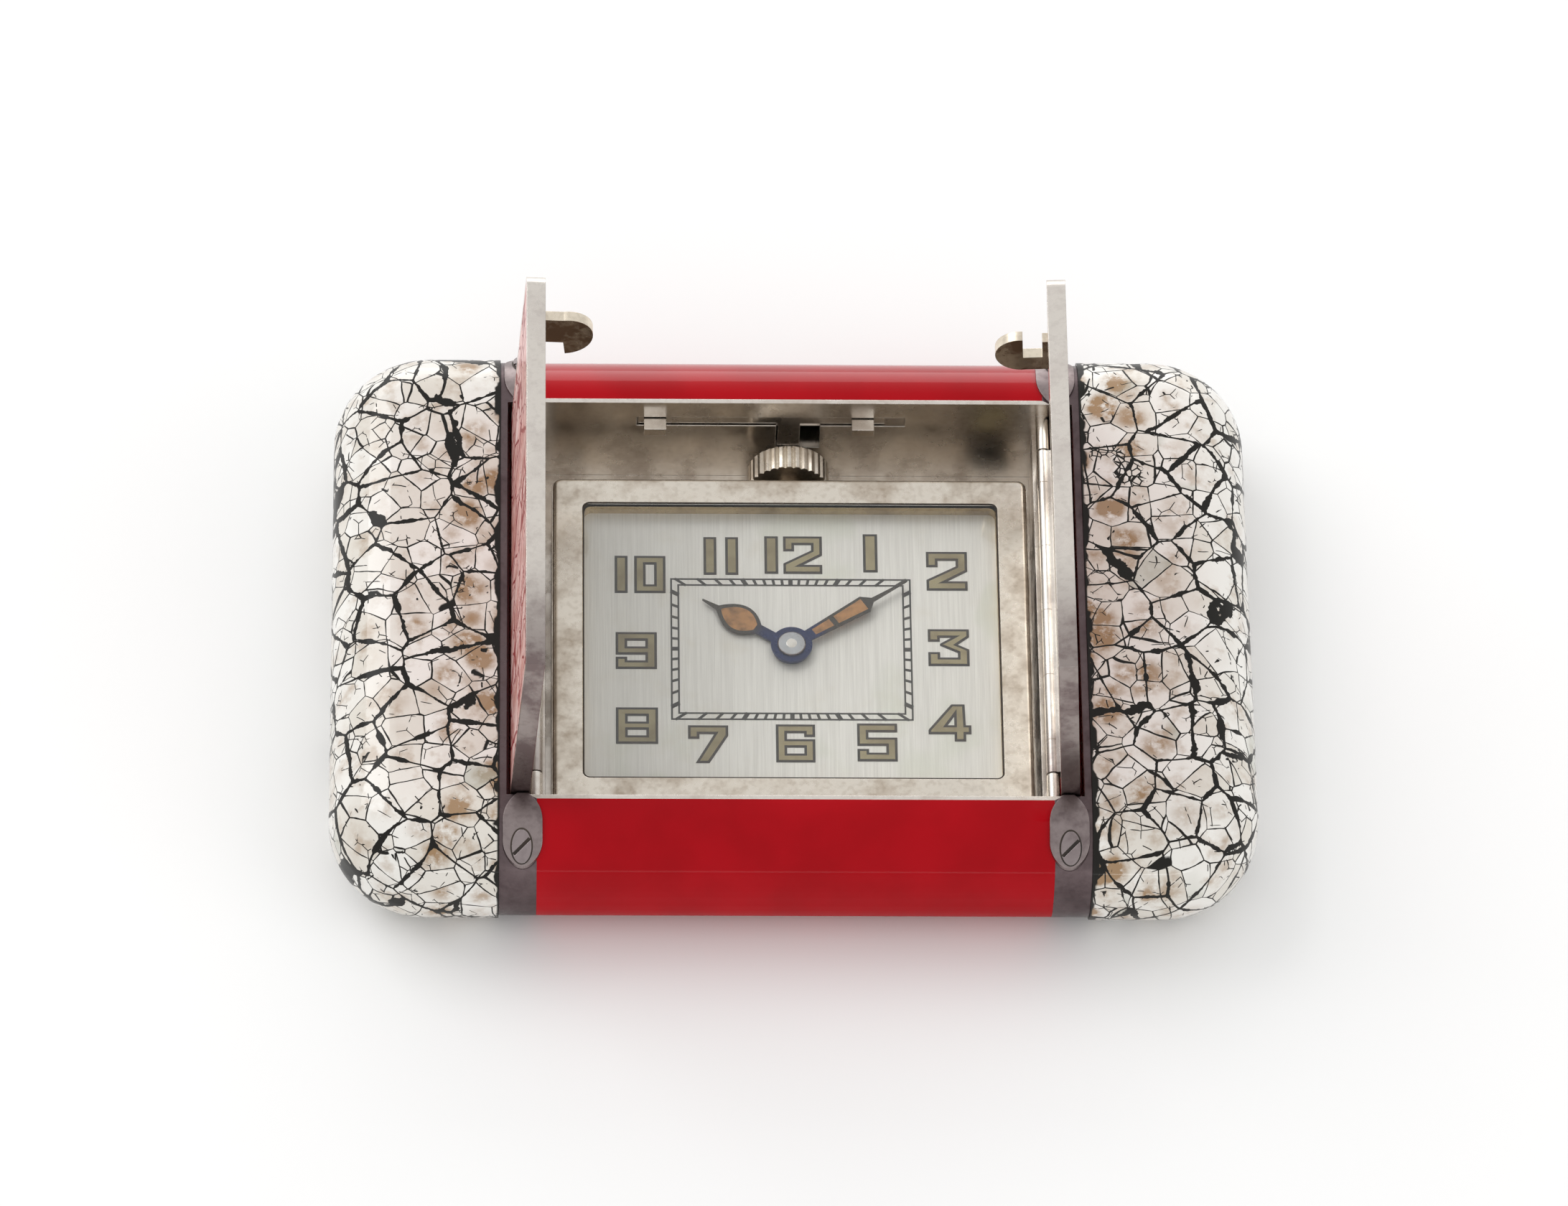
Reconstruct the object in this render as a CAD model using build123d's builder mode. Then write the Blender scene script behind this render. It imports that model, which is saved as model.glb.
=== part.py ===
from build123d import *
import os
from math import asin, cos, radians, sin, sqrt

# Overall size of the case, lying on its back
case_length = 49.5
case_breadth = 34.1
case_depth = 8.0
depth_unit = case_depth / 8
plan_corner_radius = 5.2
edge_radius = 3.6 * depth_unit

# Skin levels below the outermost surface
band_inset = 0.15
pad_inset = 0.3
core_inset = 0.5
core_facet_angle = 30.0
core_facet_count = 3
belt_room = 0.45
belt_width = 2.0

# Window, ledge and well
window_end_room = 2.05
window_wall = 4.4
lip_width = 0.25
ledge_height = 4.9 * depth_unit
well_end_gap = 0.35
well_floor = 0.9 * depth_unit

# Doors and their hinges
door_hinge_room = 0.5
door_thickness = 1.0
knuckle_radius = 0.36
knuckle_gap = 0.04
knuckle_web = 0.3
knuckle_bite = 0.1
fixed_knuckle_length = 2.15
knuckle_end_gap = 0.1
heel_radius = 1.5
door_end_gap = 0.08
door_parting = 0.04
door_corner_radius = 0.9
door_rest_angle = 86.6
pin_radius = 0.2
pin_clearance = 0.03
pin_end_gap = 0.05
inlay_thickness = 0.3
inlay_rim = 0.4
hook_end_gap = 0.2
hook_thickness = 0.6

# Left hook, measured from the hinge line and from the door's inner face
left_root_near = 8.2
left_root_width = 2.0
left_notch_depth = 1.3
left_tip_length = 1.0
left_tip_depth = 1.45
left_curve_inset = 0.55
left_curve_depth = 2.45
hook_depth = 2.85
left_heel_inset = 0.8
left_back_inset = 0.2
left_back_depth = 2.3
left_shoulder_depth = 1.2

# Right hook, measured the same way
right_root_near = 5.9
right_root_width = 2.5
right_root_depth = 0.3
right_stem_width = 1.1
right_notch_depth = 1.35
right_tip_length = 1.6
right_curve_inset = 0.25
right_curve_depth = 2.3
right_heel_inset = 1.4
right_back_inset = 0.3
right_shoulder_depth = 1.2

# Latch bar in the twelve wall
bar_left = -8.2
bar_right = 5.2
bar_gap = 0.1
bar_depth = 0.7
bar_low = 5.8 * depth_unit
bar_high = 6.4 * depth_unit
tooth_width = 1.2
left_tooth_end = -6.7
right_tooth_end = 4.6
tooth_reach = 0.75
neck_half = 0.6
neck_low = 3.75 * depth_unit
neck_high = 4.35 * depth_unit
latch_travel = 1.0
latch_clearance = 0.1
side_seat_depth = 0.9
slide_half = 2.5
slide_low = 3.05 * depth_unit
slide_high = 5.05 * depth_unit
slide_seat_gap = 0.05
slide_depth = 0.75
slide_rib_count = 6
slide_groove = 0.25
slide_groove_depth = 0.2
slide_round = 0.15

# Screwed pads over the ends of the belts
pad_room = 1.2
pad_half = 1.05
pad_tip_half = 0.3
pad_flank_half = 0.85
pad_flank_reach = 0.75
pad_wide_reach = 1.65
pad_shoulder_inset = 1.85
pad_end_inset = 0.72
screw_room = 1.25
screw_slope_angle = 36.0
screw_half_width = 0.52
screw_half_length = 0.9
screw_rise = 0.12
screw_sink = 0.2
screw_shank_radius = 0.3
screw_shank_length = 1.0
screw_slot_width = 0.18
screw_slot_depth = 0.14
screw_slot_angle = 45.0

# Watch case, measured from its front face and centre
watch_hinge_inset = 0.65
watch_hinge_z = 4.8 * depth_unit
watch_rest_angle = 0.0
watch_length = 25.8
watch_end_room = 4.2
watch_thickness = 4.1 * depth_unit
watch_corner = 0.5
watch_rise = 0.45 * depth_unit
watch_knuckle_radius = 0.45
watch_knuckle_half = 6.0
watch_web_low = 0.75 * depth_unit
watch_web_high = 0.37 * depth_unit
ear_radius = 0.4
ear_start = 6.1
ear_end = 9.1
ear_web = 0.3
watch_wall = 0.7
bezel_depth = 0.35 * depth_unit
bezel_step = 0.05
bezel_round = 0.28
bezel_width = 1.65
aperture_corner = 0.4
skirt_step = 0.02
skirt_depth = 1.15 * depth_unit
rehaut_step = 0.2
rehaut_wall = 0.3
glass_top = 0.05 * depth_unit
glass_bottom = 0.5 * depth_unit
glass_gap = 0.02
dial_back = 1.4 * depth_unit
back_start = 3.6 * depth_unit
back_round = 0.35
tab_inset = 0.6
tab_width = 2.4
tab_reach = 1.3
tab_root = 0.5
tab_top = 2.2 * depth_unit
tab_bottom = 2.6 * depth_unit
tab_round = 0.9
tab_small_round = 0.35
side_hole_inset = 1.4
side_hole_level = 2.0 * depth_unit
side_hole_radius = 0.47
side_hole_depth = 0.45

# Crown and stem
stem_level = 1.95 * depth_unit
stem_radius = 0.3 * depth_unit
stem_clearance = 0.06
stem_wheel_gap = 1.0
crown_gap = 0.05
crown_neck_radius = 0.7 * depth_unit
crown_neck_length = 0.55
crown_length = 1.55
crown_radius = 2.2 * depth_unit
crown_bevel = 0.2
crown_flute_count = 30
crown_flute_width = 0.2
flute_turn = (0.0, 0.0, 45.0)
crown_travel = 0.6
collar_radius = 0.5 * depth_unit
collar_clearance = 0.03
collar_inside = 3.75
collar_length = 0.6
collar_room = 0.1
channel_half = 0.4 * depth_unit
channel_level = 1.55 * depth_unit
channel_end_room = 0.2

# Movement levels and places
plate_back = 2.45 * depth_unit
movement_gap = 0.05 * depth_unit
wheel_top = 2.55 * depth_unit
wheel_bottom = 2.9 * depth_unit
bridge_top = 3.0 * depth_unit
bridge_bottom = 3.55 * depth_unit
arbor_radius = 0.25
foot_radius = 0.5
bridge_edge_gap = 0.6
bridge_gap = 0.2
bridge_split_share = 0.1
cock_split_share = 0.27
movement_aspect_share = 0.807
wheel_shares = {
    "barrel": (-0.533, 0.305, 0.406),
    "third_wheel": (0.361, -0.305, 0.203),
    "fourth_wheel": (0.705, -0.426, 0.203),
    "escape_wheel": (0.762, -0.081, 0.132),
    "balance_wheel": (0.574, 0.437, 0.305),
}
centre_wheel_share = 0.305
train_foot_shares = [(-0.902, -0.761), (0.902, -0.832)]
barrel_foot_shares = [(-0.902, 0.853), (0.18, 0.853)]
cock_foot_shares = [(0.344, 0.853), (0.902, 0.853)]
balance_rim = 0.5
balance_spoke = 0.3
centre_arbor_end = 2.97 * depth_unit
cannon_radius = 0.42
cannon_bottom = 2.5 * depth_unit
cannon_clearance = 0.04
cap_radius = 0.7
cap_top = 0.55 * depth_unit
hour_tube_radius = 0.7
hour_tube_clearance = 0.03
hour_wheel_radius = 2.4
hour_wheel_top = 1.5 * depth_unit
hour_wheel_bottom = 1.7 * depth_unit
hour_recess_radius = 2.6
hour_recess_depth = 1.75 * depth_unit
dial_hole_radius = 0.75

# Hands, as photographed
minute_top = 0.66 * depth_unit
minute_bottom = 0.78 * depth_unit
minute_angle = 56.4
minute_hub = 1.12
minute_root_half = 0.33
minute_root = 0.95
minute_wide_half = 0.53
minute_wide = 4.8
minute_neck_half = 0.12
minute_neck = 5.3
minute_length = 7.55
minute_tip_half = 0.03
minute_cells = [(1.45, 0.2, 2.6, 0.25), (2.9, 0.27, 4.75, 0.38)]
hour_top = 0.88 * depth_unit
hour_bottom = 1.0 * depth_unit
hour_angle = -57.4
hour_hub = 1.05
hour_root_half = 0.3
hour_root = 0.9
hour_bulge_start = 2.1
hour_bulge_half = 0.88
hour_bulge = 3.1
hour_taper_half = 0.13
hour_taper = 4.7
hour_length = 5.66
hour_tip_half = 0.03
hour_cell_start_half = 0.2
hour_cell_start = 2.3
hour_cell_half = 0.7
hour_cell_end = 4.45
hour_cell_end_half = 0.05

overrun = 1.0
along_y = (90, 0, 0)
along_x = (0, 90, 0)

os.makedirs("parts", exist_ok=True)


def pillow(inset):
    with BuildPart() as body:
        with BuildSketch(Plane.XY.offset(inset)):
            RectangleRounded(case_length - 2 * inset, case_breadth - 2 * inset, plan_corner_radius - inset)
        extrude(amount=case_depth - 2 * inset)
        ends = body.faces().sort_by(Axis.Z)
        fillet(ends[0].edges() + ends[-1].edges(), edge_radius - inset)
    return body.part


def block(low, high, mode=Mode.ADD):
    size = [b - a for a, b in zip(low, high)]
    middle = tuple((a + b) / 2 for a, b in zip(low, high))
    with Locations(middle):
        Box(size[0], size[1], size[2], mode=mode)


def rod_y(x, z, low, high, radius, mode=Mode.ADD):
    with Locations((x, (low + high) / 2, z)):
        Cylinder(radius, high - low, rotation=along_y, mode=mode)


def rod_x(y, z, low, high, radius, mode=Mode.ADD):
    with Locations(((low + high) / 2, y, z)):
        Cylinder(radius, high - low, rotation=along_x, mode=mode)


def rod_z(x, y, low, high, radius, mode=Mode.ADD):
    with Locations((x, y, (low + high) / 2)):
        Cylinder(radius, high - low, mode=mode)


def slab(length, breadth, corner, low, high, mode=Mode.ADD):
    with BuildSketch(watch_front.offset(low)) as outline:
        RectangleRounded(length, breadth, corner)
    extrude(outline.sketch, amount=high - low, mode=mode)


# The hidden core under the lacquer is faceted, not rounded
def faceted_pillow(inset):
    rounding = edge_radius - inset
    lean_angles = [core_facet_angle * step for step in range(core_facet_count + 1)]
    with BuildPart() as body:
        for step, lean in enumerate(lean_angles + lean_angles[::-1]):
            side_inset = inset + rounding * (1 - sin(radians(lean)))
            rise = inset + rounding * (1 - cos(radians(lean)))
            level = rise if step < len(lean_angles) else case_depth - rise
            with BuildSketch(Plane.XY.offset(level)):
                RectangleRounded(
                    case_length - 2 * side_inset,
                    case_breadth - 2 * side_inset,
                    plan_corner_radius - side_inset,
                )
        loft(ruled=True)
    return body.part


# Nested skins of the case
outer_pillow = pillow(0)
band_pillow = pillow(band_inset)
pad_pillow = pillow(pad_inset)
core_pillow = faceted_pillow(core_inset)
far = case_length
front_level = case_depth - band_inset
half_breadth = case_breadth / 2
well_half_length = watch_length / 2 + well_end_gap
window_half_length = well_half_length + window_end_room
door_hinge_x = well_half_length + door_hinge_room
belt_inner = well_half_length + belt_room
belt_outer = belt_inner + belt_width
pad_x = well_half_length + pad_room
screw_x = well_half_length + screw_room
tab_right = watch_length / 2 - tab_inset
tab_left = tab_right - tab_width
side_hole_x = watch_length / 2 - side_hole_inset
window_half_breadth = half_breadth - window_wall
lip_edge = window_half_breadth + lip_width
pin_end = window_half_breadth - pin_end_gap
fixed_knuckle_start = window_half_breadth - fixed_knuckle_length
door_knuckle_half = fixed_knuckle_start - knuckle_end_gap
door_half_breadth = window_half_breadth - door_end_gap
hook_high = window_half_breadth - hook_end_gap
hook_low = hook_high - hook_thickness
bar_near = window_half_breadth + bar_gap
bar_far = bar_near + bar_depth
tooth_near = window_half_breadth - tooth_reach
side_seat = half_breadth - side_seat_depth
slide_near = side_seat + slide_seat_gap
slide_far = slide_near + slide_depth
pad_start = window_half_breadth
pad_flank = window_half_breadth + pad_flank_reach
pad_wide = window_half_breadth + pad_wide_reach
pad_shoulder = half_breadth - pad_shoulder_inset
pad_end = half_breadth - pad_end_inset
watch_hinge_y = watch_hinge_inset - window_half_breadth
watch_breadth = 2 * window_half_breadth - watch_end_room
watch_reach = watch_breadth / 2 + watch_knuckle_radius

# Door hinge line, level with a closed door's inner face less the knuckle
door_inner = knuckle_radius + knuckle_gap
door_outer = door_inner + door_thickness
door_hinge_z = front_level - door_outer
door_free = door_hinge_x - door_parting


def door_section(side):
    lean = radians(door_rest_angle)
    return Plane(
        origin=(side * door_hinge_x, 0, door_hinge_z),
        x_dir=(-side * cos(lean), 0, sin(lean)),
        z_dir=(0, side, 0),
    )


# Screws through the pads, one in each
screw_lean = radians(screw_slope_angle)
screw_y = half_breadth - edge_radius + edge_radius * sin(screw_lean)
screw_z = case_depth - edge_radius + edge_radius * cos(screw_lean)
with BuildPart() as pad_screws:
    for side in (-1, 1):
        for end in (-1, 1):
            seat = Plane(
                origin=(side * screw_x, end * screw_y, screw_z),
                x_dir=(1, 0, 0),
                z_dir=(0, end * sin(screw_lean), cos(screw_lean)),
            )
            with BuildSketch(seat.offset(-screw_sink)):
                Ellipse(screw_half_width, screw_half_length)
            extrude(amount=screw_sink + screw_rise)
            with BuildSketch(seat.offset(-screw_sink)):
                Circle(screw_shank_radius)
            extrude(amount=-screw_shank_length)
            with BuildSketch(seat.offset(screw_rise - screw_slot_depth)):
                Rectangle(4 * screw_half_length, screw_slot_width, rotation=screw_slot_angle)
            extrude(amount=overrun, mode=Mode.SUBTRACT)
pad_screws.part.label = "pad_screws"
export_step(pad_screws.part, "parts/pad_screws.step")

# Solid plugs the size of the screws, to cut their seats
with BuildPart() as screw_seats:
    for side in (-1, 1):
        for end in (-1, 1):
            seat = Plane(
                origin=(side * screw_x, end * screw_y, screw_z),
                x_dir=(1, 0, 0),
                z_dir=(0, end * sin(screw_lean), cos(screw_lean)),
            )
            with BuildSketch(seat.offset(-screw_sink)):
                Ellipse(screw_half_width, screw_half_length)
            extrude(amount=overrun)
            with BuildSketch(seat.offset(-screw_sink)):
                Circle(screw_shank_radius)
            extrude(amount=-screw_shank_length)


# Pads, following the rounded edge of the case
def make_pad(side, end):
    middle = side * pad_x
    with BuildPart() as pad:
        with BuildSketch(Plane.XY.offset(case_depth / 2)):
            with BuildLine():
                tip_left = (middle - pad_tip_half, end * pad_start)
                tip_right = (middle + pad_tip_half, end * pad_start)
                wide_left = (middle - pad_half, end * pad_wide)
                wide_right = (middle + pad_half, end * pad_wide)
                low_left = (middle - pad_half, end * pad_shoulder)
                low_right = (middle + pad_half, end * pad_shoulder)
                Line(tip_left, tip_right)
                ThreePointArc(tip_right, (middle + pad_flank_half, end * pad_flank), wide_right)
                Line(wide_right, low_right)
                ThreePointArc(low_right, (middle, end * pad_end), low_left)
                Line(low_left, wide_left)
                ThreePointArc(wide_left, (middle - pad_flank_half, end * pad_flank), tip_left)
            make_face()
        extrude(amount=case_depth)
        add(outer_pillow, mode=Mode.INTERSECT)
        add(pad_pillow, mode=Mode.SUBTRACT)
    return pad.part


pad_shapes = {}
for side_name, side in (("left", -1), ("right", 1)):
    for end_name, end in (("six", -1), ("twelve", 1)):
        pad_shapes["pad_" + end_name + "_" + side_name] = make_pad(side, end)

for pad_name, pad_shape in pad_shapes.items():
    with BuildPart() as pad_plate:
        add(pad_shape)
        add(screw_seats.part, mode=Mode.SUBTRACT)
    pad_plate.part.label = pad_name
    export_step(pad_plate.part, "parts/" + pad_name + ".step")

# Silver case body
with BuildPart() as case_shell:
    add(band_pillow)
    block((-belt_outer, -far, -far), (belt_outer, far, far), mode=Mode.INTERSECT)
    block((-belt_inner, lip_edge, -far), (belt_inner, far, far), mode=Mode.SUBTRACT)
    block((-belt_inner, -far, -far), (belt_inner, -lip_edge, far), mode=Mode.SUBTRACT)
    block((-belt_inner, -far, -far), (belt_inner, far, case_depth / 2), mode=Mode.SUBTRACT)
    add(core_pillow)
    for pad_shape in pad_shapes.values():
        add(pad_shape, mode=Mode.SUBTRACT)
    add(screw_seats.part, mode=Mode.SUBTRACT)
    block(
        (-window_half_length, -window_half_breadth, ledge_height),
        (window_half_length, window_half_breadth, case_depth + overrun),
        mode=Mode.SUBTRACT,
    )
    block(
        (-well_half_length, -window_half_breadth, well_floor),
        (well_half_length, window_half_breadth, case_depth),
        mode=Mode.SUBTRACT,
    )
    block(
        (bar_left - latch_clearance, window_half_breadth - overrun, bar_low - latch_clearance),
        (bar_right + latch_travel + latch_clearance, bar_far + latch_clearance, bar_high + latch_clearance),
        mode=Mode.SUBTRACT,
    )
    block(
        (-neck_half - latch_clearance, window_half_breadth - overrun, neck_low - latch_clearance),
        (neck_half + latch_travel + latch_clearance, bar_far + latch_clearance, bar_high),
        mode=Mode.SUBTRACT,
    )
    block(
        (-neck_half - latch_clearance, window_half_breadth, neck_low - latch_clearance),
        (neck_half + latch_travel + latch_clearance, far, neck_high + latch_clearance),
        mode=Mode.SUBTRACT,
    )
    block(
        (-slide_half - latch_clearance, side_seat, slide_low - latch_clearance),
        (slide_half + latch_travel + latch_clearance, far, slide_high + latch_clearance),
        mode=Mode.SUBTRACT,
    )
    for side in (-1, 1):
        hinge_x = side * door_hinge_x
        for low, high in (
            (fixed_knuckle_start, window_half_breadth),
            (-window_half_breadth, -fixed_knuckle_start),
        ):
            rod_y(hinge_x, door_hinge_z, low, high, knuckle_radius)
            block((hinge_x - knuckle_web, low, ledge_height), (hinge_x + knuckle_web, high, door_hinge_z))
        rod_y(hinge_x, door_hinge_z, -pin_end, pin_end, pin_radius, mode=Mode.SUBTRACT)
    for low, high in ((ear_start, ear_end), (-ear_end, -ear_start)):
        rod_x(watch_hinge_y, watch_hinge_z, low, high, ear_radius)
        block(
            (low, -window_half_breadth, watch_hinge_z - ear_web),
            (high, watch_hinge_y, watch_hinge_z + ear_web),
        )
    rod_x(watch_hinge_y, watch_hinge_z, -ear_end, ear_end, pin_radius, mode=Mode.SUBTRACT)
case_shell.part.label = "case_shell"
export_step(case_shell.part, "parts/case_shell.step")

# Lacquered ends
for side_name, side in (("left", -1), ("right", 1)):
    with BuildPart() as eggshell_end:
        add(outer_pillow)
        add(core_pillow, mode=Mode.SUBTRACT)
        inner_x = side * belt_outer
        outer_x = side * far
        block((min(inner_x, outer_x), -far, -far), (max(inner_x, outer_x), far, far), mode=Mode.INTERSECT)
    eggshell_end.part.label = "eggshell_end_" + side_name
    export_step(eggshell_end.part, "parts/eggshell_end_" + side_name + ".step")

# Red lacquer bands round the six and twelve sides, and the back panel
with BuildPart() as red_band_six:
    add(band_pillow)
    add(core_pillow, mode=Mode.SUBTRACT)
    block((-belt_inner, -far, -far), (belt_inner, -lip_edge, far), mode=Mode.INTERSECT)
    for pad_shape in pad_shapes.values():
        add(pad_shape, mode=Mode.SUBTRACT)
red_band_six.part.label = "red_band_six"
export_step(red_band_six.part, "parts/red_band_six.step")

with BuildPart() as red_band_twelve:
    add(band_pillow)
    add(core_pillow, mode=Mode.SUBTRACT)
    block((-belt_inner, lip_edge, -far), (belt_inner, far, far), mode=Mode.INTERSECT)
    for pad_shape in pad_shapes.values():
        add(pad_shape, mode=Mode.SUBTRACT)
    block(
        (-slide_half - latch_clearance, side_seat, slide_low - latch_clearance),
        (slide_half + latch_travel + latch_clearance, far, slide_high + latch_clearance),
        mode=Mode.SUBTRACT,
    )
red_band_twelve.part.label = "red_band_twelve"
export_step(red_band_twelve.part, "parts/red_band_twelve.step")

with BuildPart() as red_back:
    block((-belt_inner, -lip_edge, band_inset), (belt_inner, lip_edge, core_inset))
red_back.part.label = "red_back"
export_step(red_back.part, "parts/red_back.step")

# Hinge pins
for side_name, side in (("left", -1), ("right", 1)):
    with BuildPart() as door_pin:
        rod_y(side * door_hinge_x, door_hinge_z, -pin_end, pin_end, pin_radius)
    door_pin.part.label = "door_pin_" + side_name
    export_step(door_pin.part, "parts/door_pin_" + side_name + ".step")

with BuildPart() as watch_hinge_pin:
    rod_x(watch_hinge_y, watch_hinge_z, -ear_end, ear_end, pin_radius)
watch_hinge_pin.part.label = "watch_hinge_pin"
export_step(watch_hinge_pin.part, "parts/watch_hinge_pin.step")

# Doors: a silver plate with a rounded heel and a hinge tube, and a lacquer panel let into it
heel_top = -sqrt(heel_radius**2 - door_outer**2)
heel_bottom = -sqrt(heel_radius**2 - door_inner**2)
heel_middle = (asin(door_outer / heel_radius) + asin(door_inner / heel_radius)) / 2
inlay_start = heel_top + inlay_rim
inlay_end = door_free - inlay_rim
inlay_half = door_half_breadth - inlay_rim
inlay_floor = door_outer - inlay_thickness
for side_name, side in (("left", -1), ("right", 1)):
    section = door_section(side)
    with BuildPart(section) as door_plate:
        with BuildSketch(section):
            with BuildLine():
                Line((heel_bottom, door_inner), (door_free, door_inner))
                Line((door_free, door_inner), (door_free, door_outer))
                Line((door_free, door_outer), (heel_top, door_outer))
                ThreePointArc(
                    (heel_top, door_outer),
                    (-heel_radius * cos(heel_middle), heel_radius * sin(heel_middle)),
                    (heel_bottom, door_inner),
                )
            make_face()
        extrude(amount=door_half_breadth, both=True)
        corner = section.from_local_coords((door_free, door_outer, side * door_half_breadth))
        outward = Axis(section.origin, section.y_dir)
        fillet(door_plate.edges().filter_by(outward).sort_by_distance(corner)[0], door_corner_radius)
        block(
            (-knuckle_web, 0, -door_knuckle_half),
            (knuckle_web, door_inner + knuckle_bite, door_knuckle_half),
        )
        rod_z(0, 0, -door_knuckle_half, door_knuckle_half, knuckle_radius)
        rod_z(0, 0, -far, far, pin_radius + pin_clearance, mode=Mode.SUBTRACT)
        block(
            (inlay_start, inlay_floor, -inlay_half),
            (inlay_end, door_outer + overrun, inlay_half),
            mode=Mode.SUBTRACT,
        )
    door_plate.part.label = "door_plate_" + side_name
    export_step(door_plate.part, "parts/door_plate_" + side_name + ".step")

    with BuildPart(section) as door_inlay:
        block((inlay_start, inlay_floor, -inlay_half), (inlay_end, door_outer, inlay_half))
    door_inlay.part.label = "door_inlay_" + side_name
    export_step(door_inlay.part, "parts/door_inlay_" + side_name + ".step")

# Hooks on the doors' inner faces
left_section = door_section(-1)
hook_middle = (hook_low + hook_high) / 2
left_root_far = left_root_near + left_root_width
left_tip_reach = left_root_near - left_tip_length
left_curve_reach = left_tip_reach + left_curve_inset
left_heel_reach = left_root_near + left_heel_inset
left_back_reach = left_root_far - left_back_inset
right_root_far = right_root_near + right_root_width
right_notch_reach = right_root_near + right_stem_width
right_tip_reach = right_notch_reach + right_tip_length
right_curve_reach = right_tip_reach - right_curve_inset
right_heel_reach = right_root_near + right_heel_inset
right_back_reach = right_root_near + right_back_inset
hook_half = (hook_high - hook_low) / 2
with BuildPart(left_section) as hook_left:
    with BuildSketch(left_section.offset(-hook_middle)):
        with BuildLine():
            Polyline(
                (left_root_far, door_inner - left_shoulder_depth),
                (left_root_far, door_inner),
                (left_root_near, door_inner),
                (left_root_near, door_inner - left_notch_depth),
                (left_tip_reach, door_inner - left_tip_depth),
            )
            ThreePointArc(
                (left_tip_reach, door_inner - left_tip_depth),
                (left_curve_reach, door_inner - left_curve_depth),
                (left_heel_reach, door_inner - hook_depth),
            )
            ThreePointArc(
                (left_heel_reach, door_inner - hook_depth),
                (left_back_reach, door_inner - left_back_depth),
                (left_root_far, door_inner - left_shoulder_depth),
            )
        make_face()
    extrude(amount=hook_half, both=True)
hook_left.part.label = "hook_left"
export_step(hook_left.part, "parts/hook_left.step")

right_section = door_section(1)
with BuildPart(right_section) as hook_right:
    with BuildSketch(right_section.offset(hook_middle)):
        with BuildLine():
            Polyline(
                (right_root_near, door_inner - right_shoulder_depth),
                (right_root_near, door_inner),
                (right_root_far, door_inner),
                (right_root_far, door_inner - right_root_depth),
                (right_notch_reach, door_inner - right_root_depth),
                (right_notch_reach, door_inner - right_notch_depth),
                (right_tip_reach, door_inner - right_notch_depth),
            )
            ThreePointArc(
                (right_tip_reach, door_inner - right_notch_depth),
                (right_curve_reach, door_inner - right_curve_depth),
                (right_heel_reach, door_inner - hook_depth),
            )
            ThreePointArc(
                (right_heel_reach, door_inner - hook_depth),
                (right_back_reach, door_inner - right_curve_depth),
                (right_root_near, door_inner - right_shoulder_depth),
            )
        make_face()
    extrude(amount=hook_half, both=True)
hook_right.part.label = "hook_right"
export_step(hook_right.part, "parts/hook_right.step")

# Latch bar with two teeth and a neck through the twelve side
with BuildPart() as latch_bar:
    block((bar_left, bar_near, bar_low), (bar_right, bar_far, bar_high))
    for tooth_end in (left_tooth_end, right_tooth_end):
        block((tooth_end - tooth_width, tooth_near, bar_low), (tooth_end, bar_far, bar_high))
    block((-neck_half, bar_near, neck_low), (neck_half, bar_far, bar_high))
    block((-neck_half, bar_near, neck_low), (neck_half, slide_near, neck_high))
latch_bar.part.label = "latch_bar"
export_step(latch_bar.part, "parts/latch_bar.step")

# Thumb slide with grooves across its face
rib_pitch = 2 * slide_half / slide_rib_count
with BuildPart() as thumb_slide:
    block((-slide_half, slide_near, slide_low), (slide_half, slide_far, slide_high))
    fillet(thumb_slide.faces().sort_by(Axis.Y)[-1].edges(), slide_round)
    for rib in range(1, slide_rib_count):
        rib_x = -slide_half + rib * rib_pitch
        block(
            (rib_x - slide_groove / 2, slide_far - slide_groove_depth, slide_low - overrun),
            (rib_x + slide_groove / 2, slide_far + overrun, slide_high + overrun),
            mode=Mode.SUBTRACT,
        )
thumb_slide.part.label = "thumb_slide"
export_step(thumb_slide.part, "parts/thumb_slide.step")

# Watch frame: its front face, at the angle it rests at
watch_lean = radians(watch_rest_angle)
watch_hinge = Plane(
    origin=(0, watch_hinge_y, watch_hinge_z),
    x_dir=(1, 0, 0),
    z_dir=(0, -sin(watch_lean), cos(watch_lean)),
)
watch_front = Plane(
    origin=watch_hinge.from_local_coords((0, watch_reach, watch_rise)),
    x_dir=(1, 0, 0),
    z_dir=watch_hinge.z_dir,
)
watch_normal = Axis(watch_front.origin, watch_front.z_dir)
watch_upward = Axis(watch_front.origin, watch_front.y_dir)
top_face = watch_breadth / 2
cavity_length = watch_length - 2 * watch_wall
cavity_breadth = watch_breadth - 2 * watch_wall
aperture_length = watch_length - 2 * bezel_width
aperture_breadth = watch_breadth - 2 * bezel_width
rehaut_length = aperture_length + 2 * rehaut_step
rehaut_breadth = aperture_breadth + 2 * rehaut_step
crown_neck_end = top_face + crown_neck_length
crown_end = crown_neck_end + crown_length
collar_low = top_face - collar_inside
collar_high = collar_low + collar_length
half_cavity_length = cavity_length / 2
half_cavity_breadth = cavity_breadth / 2
bridge_x = half_cavity_length - bridge_edge_gap
bridge_y = half_cavity_breadth - bridge_edge_gap
bridge_split = half_cavity_breadth * bridge_split_share
cock_left = half_cavity_length * cock_split_share
wheel_unit = min(half_cavity_breadth, half_cavity_length * movement_aspect_share)
centre_wheel_radius = wheel_unit * centre_wheel_share
stem_inner_end = centre_wheel_radius + stem_wheel_gap
channel_start = stem_inner_end - channel_end_room


def in_cavity(shares):
    return [(half_cavity_length * x, half_cavity_breadth * y) for x, y in shares]



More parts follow.
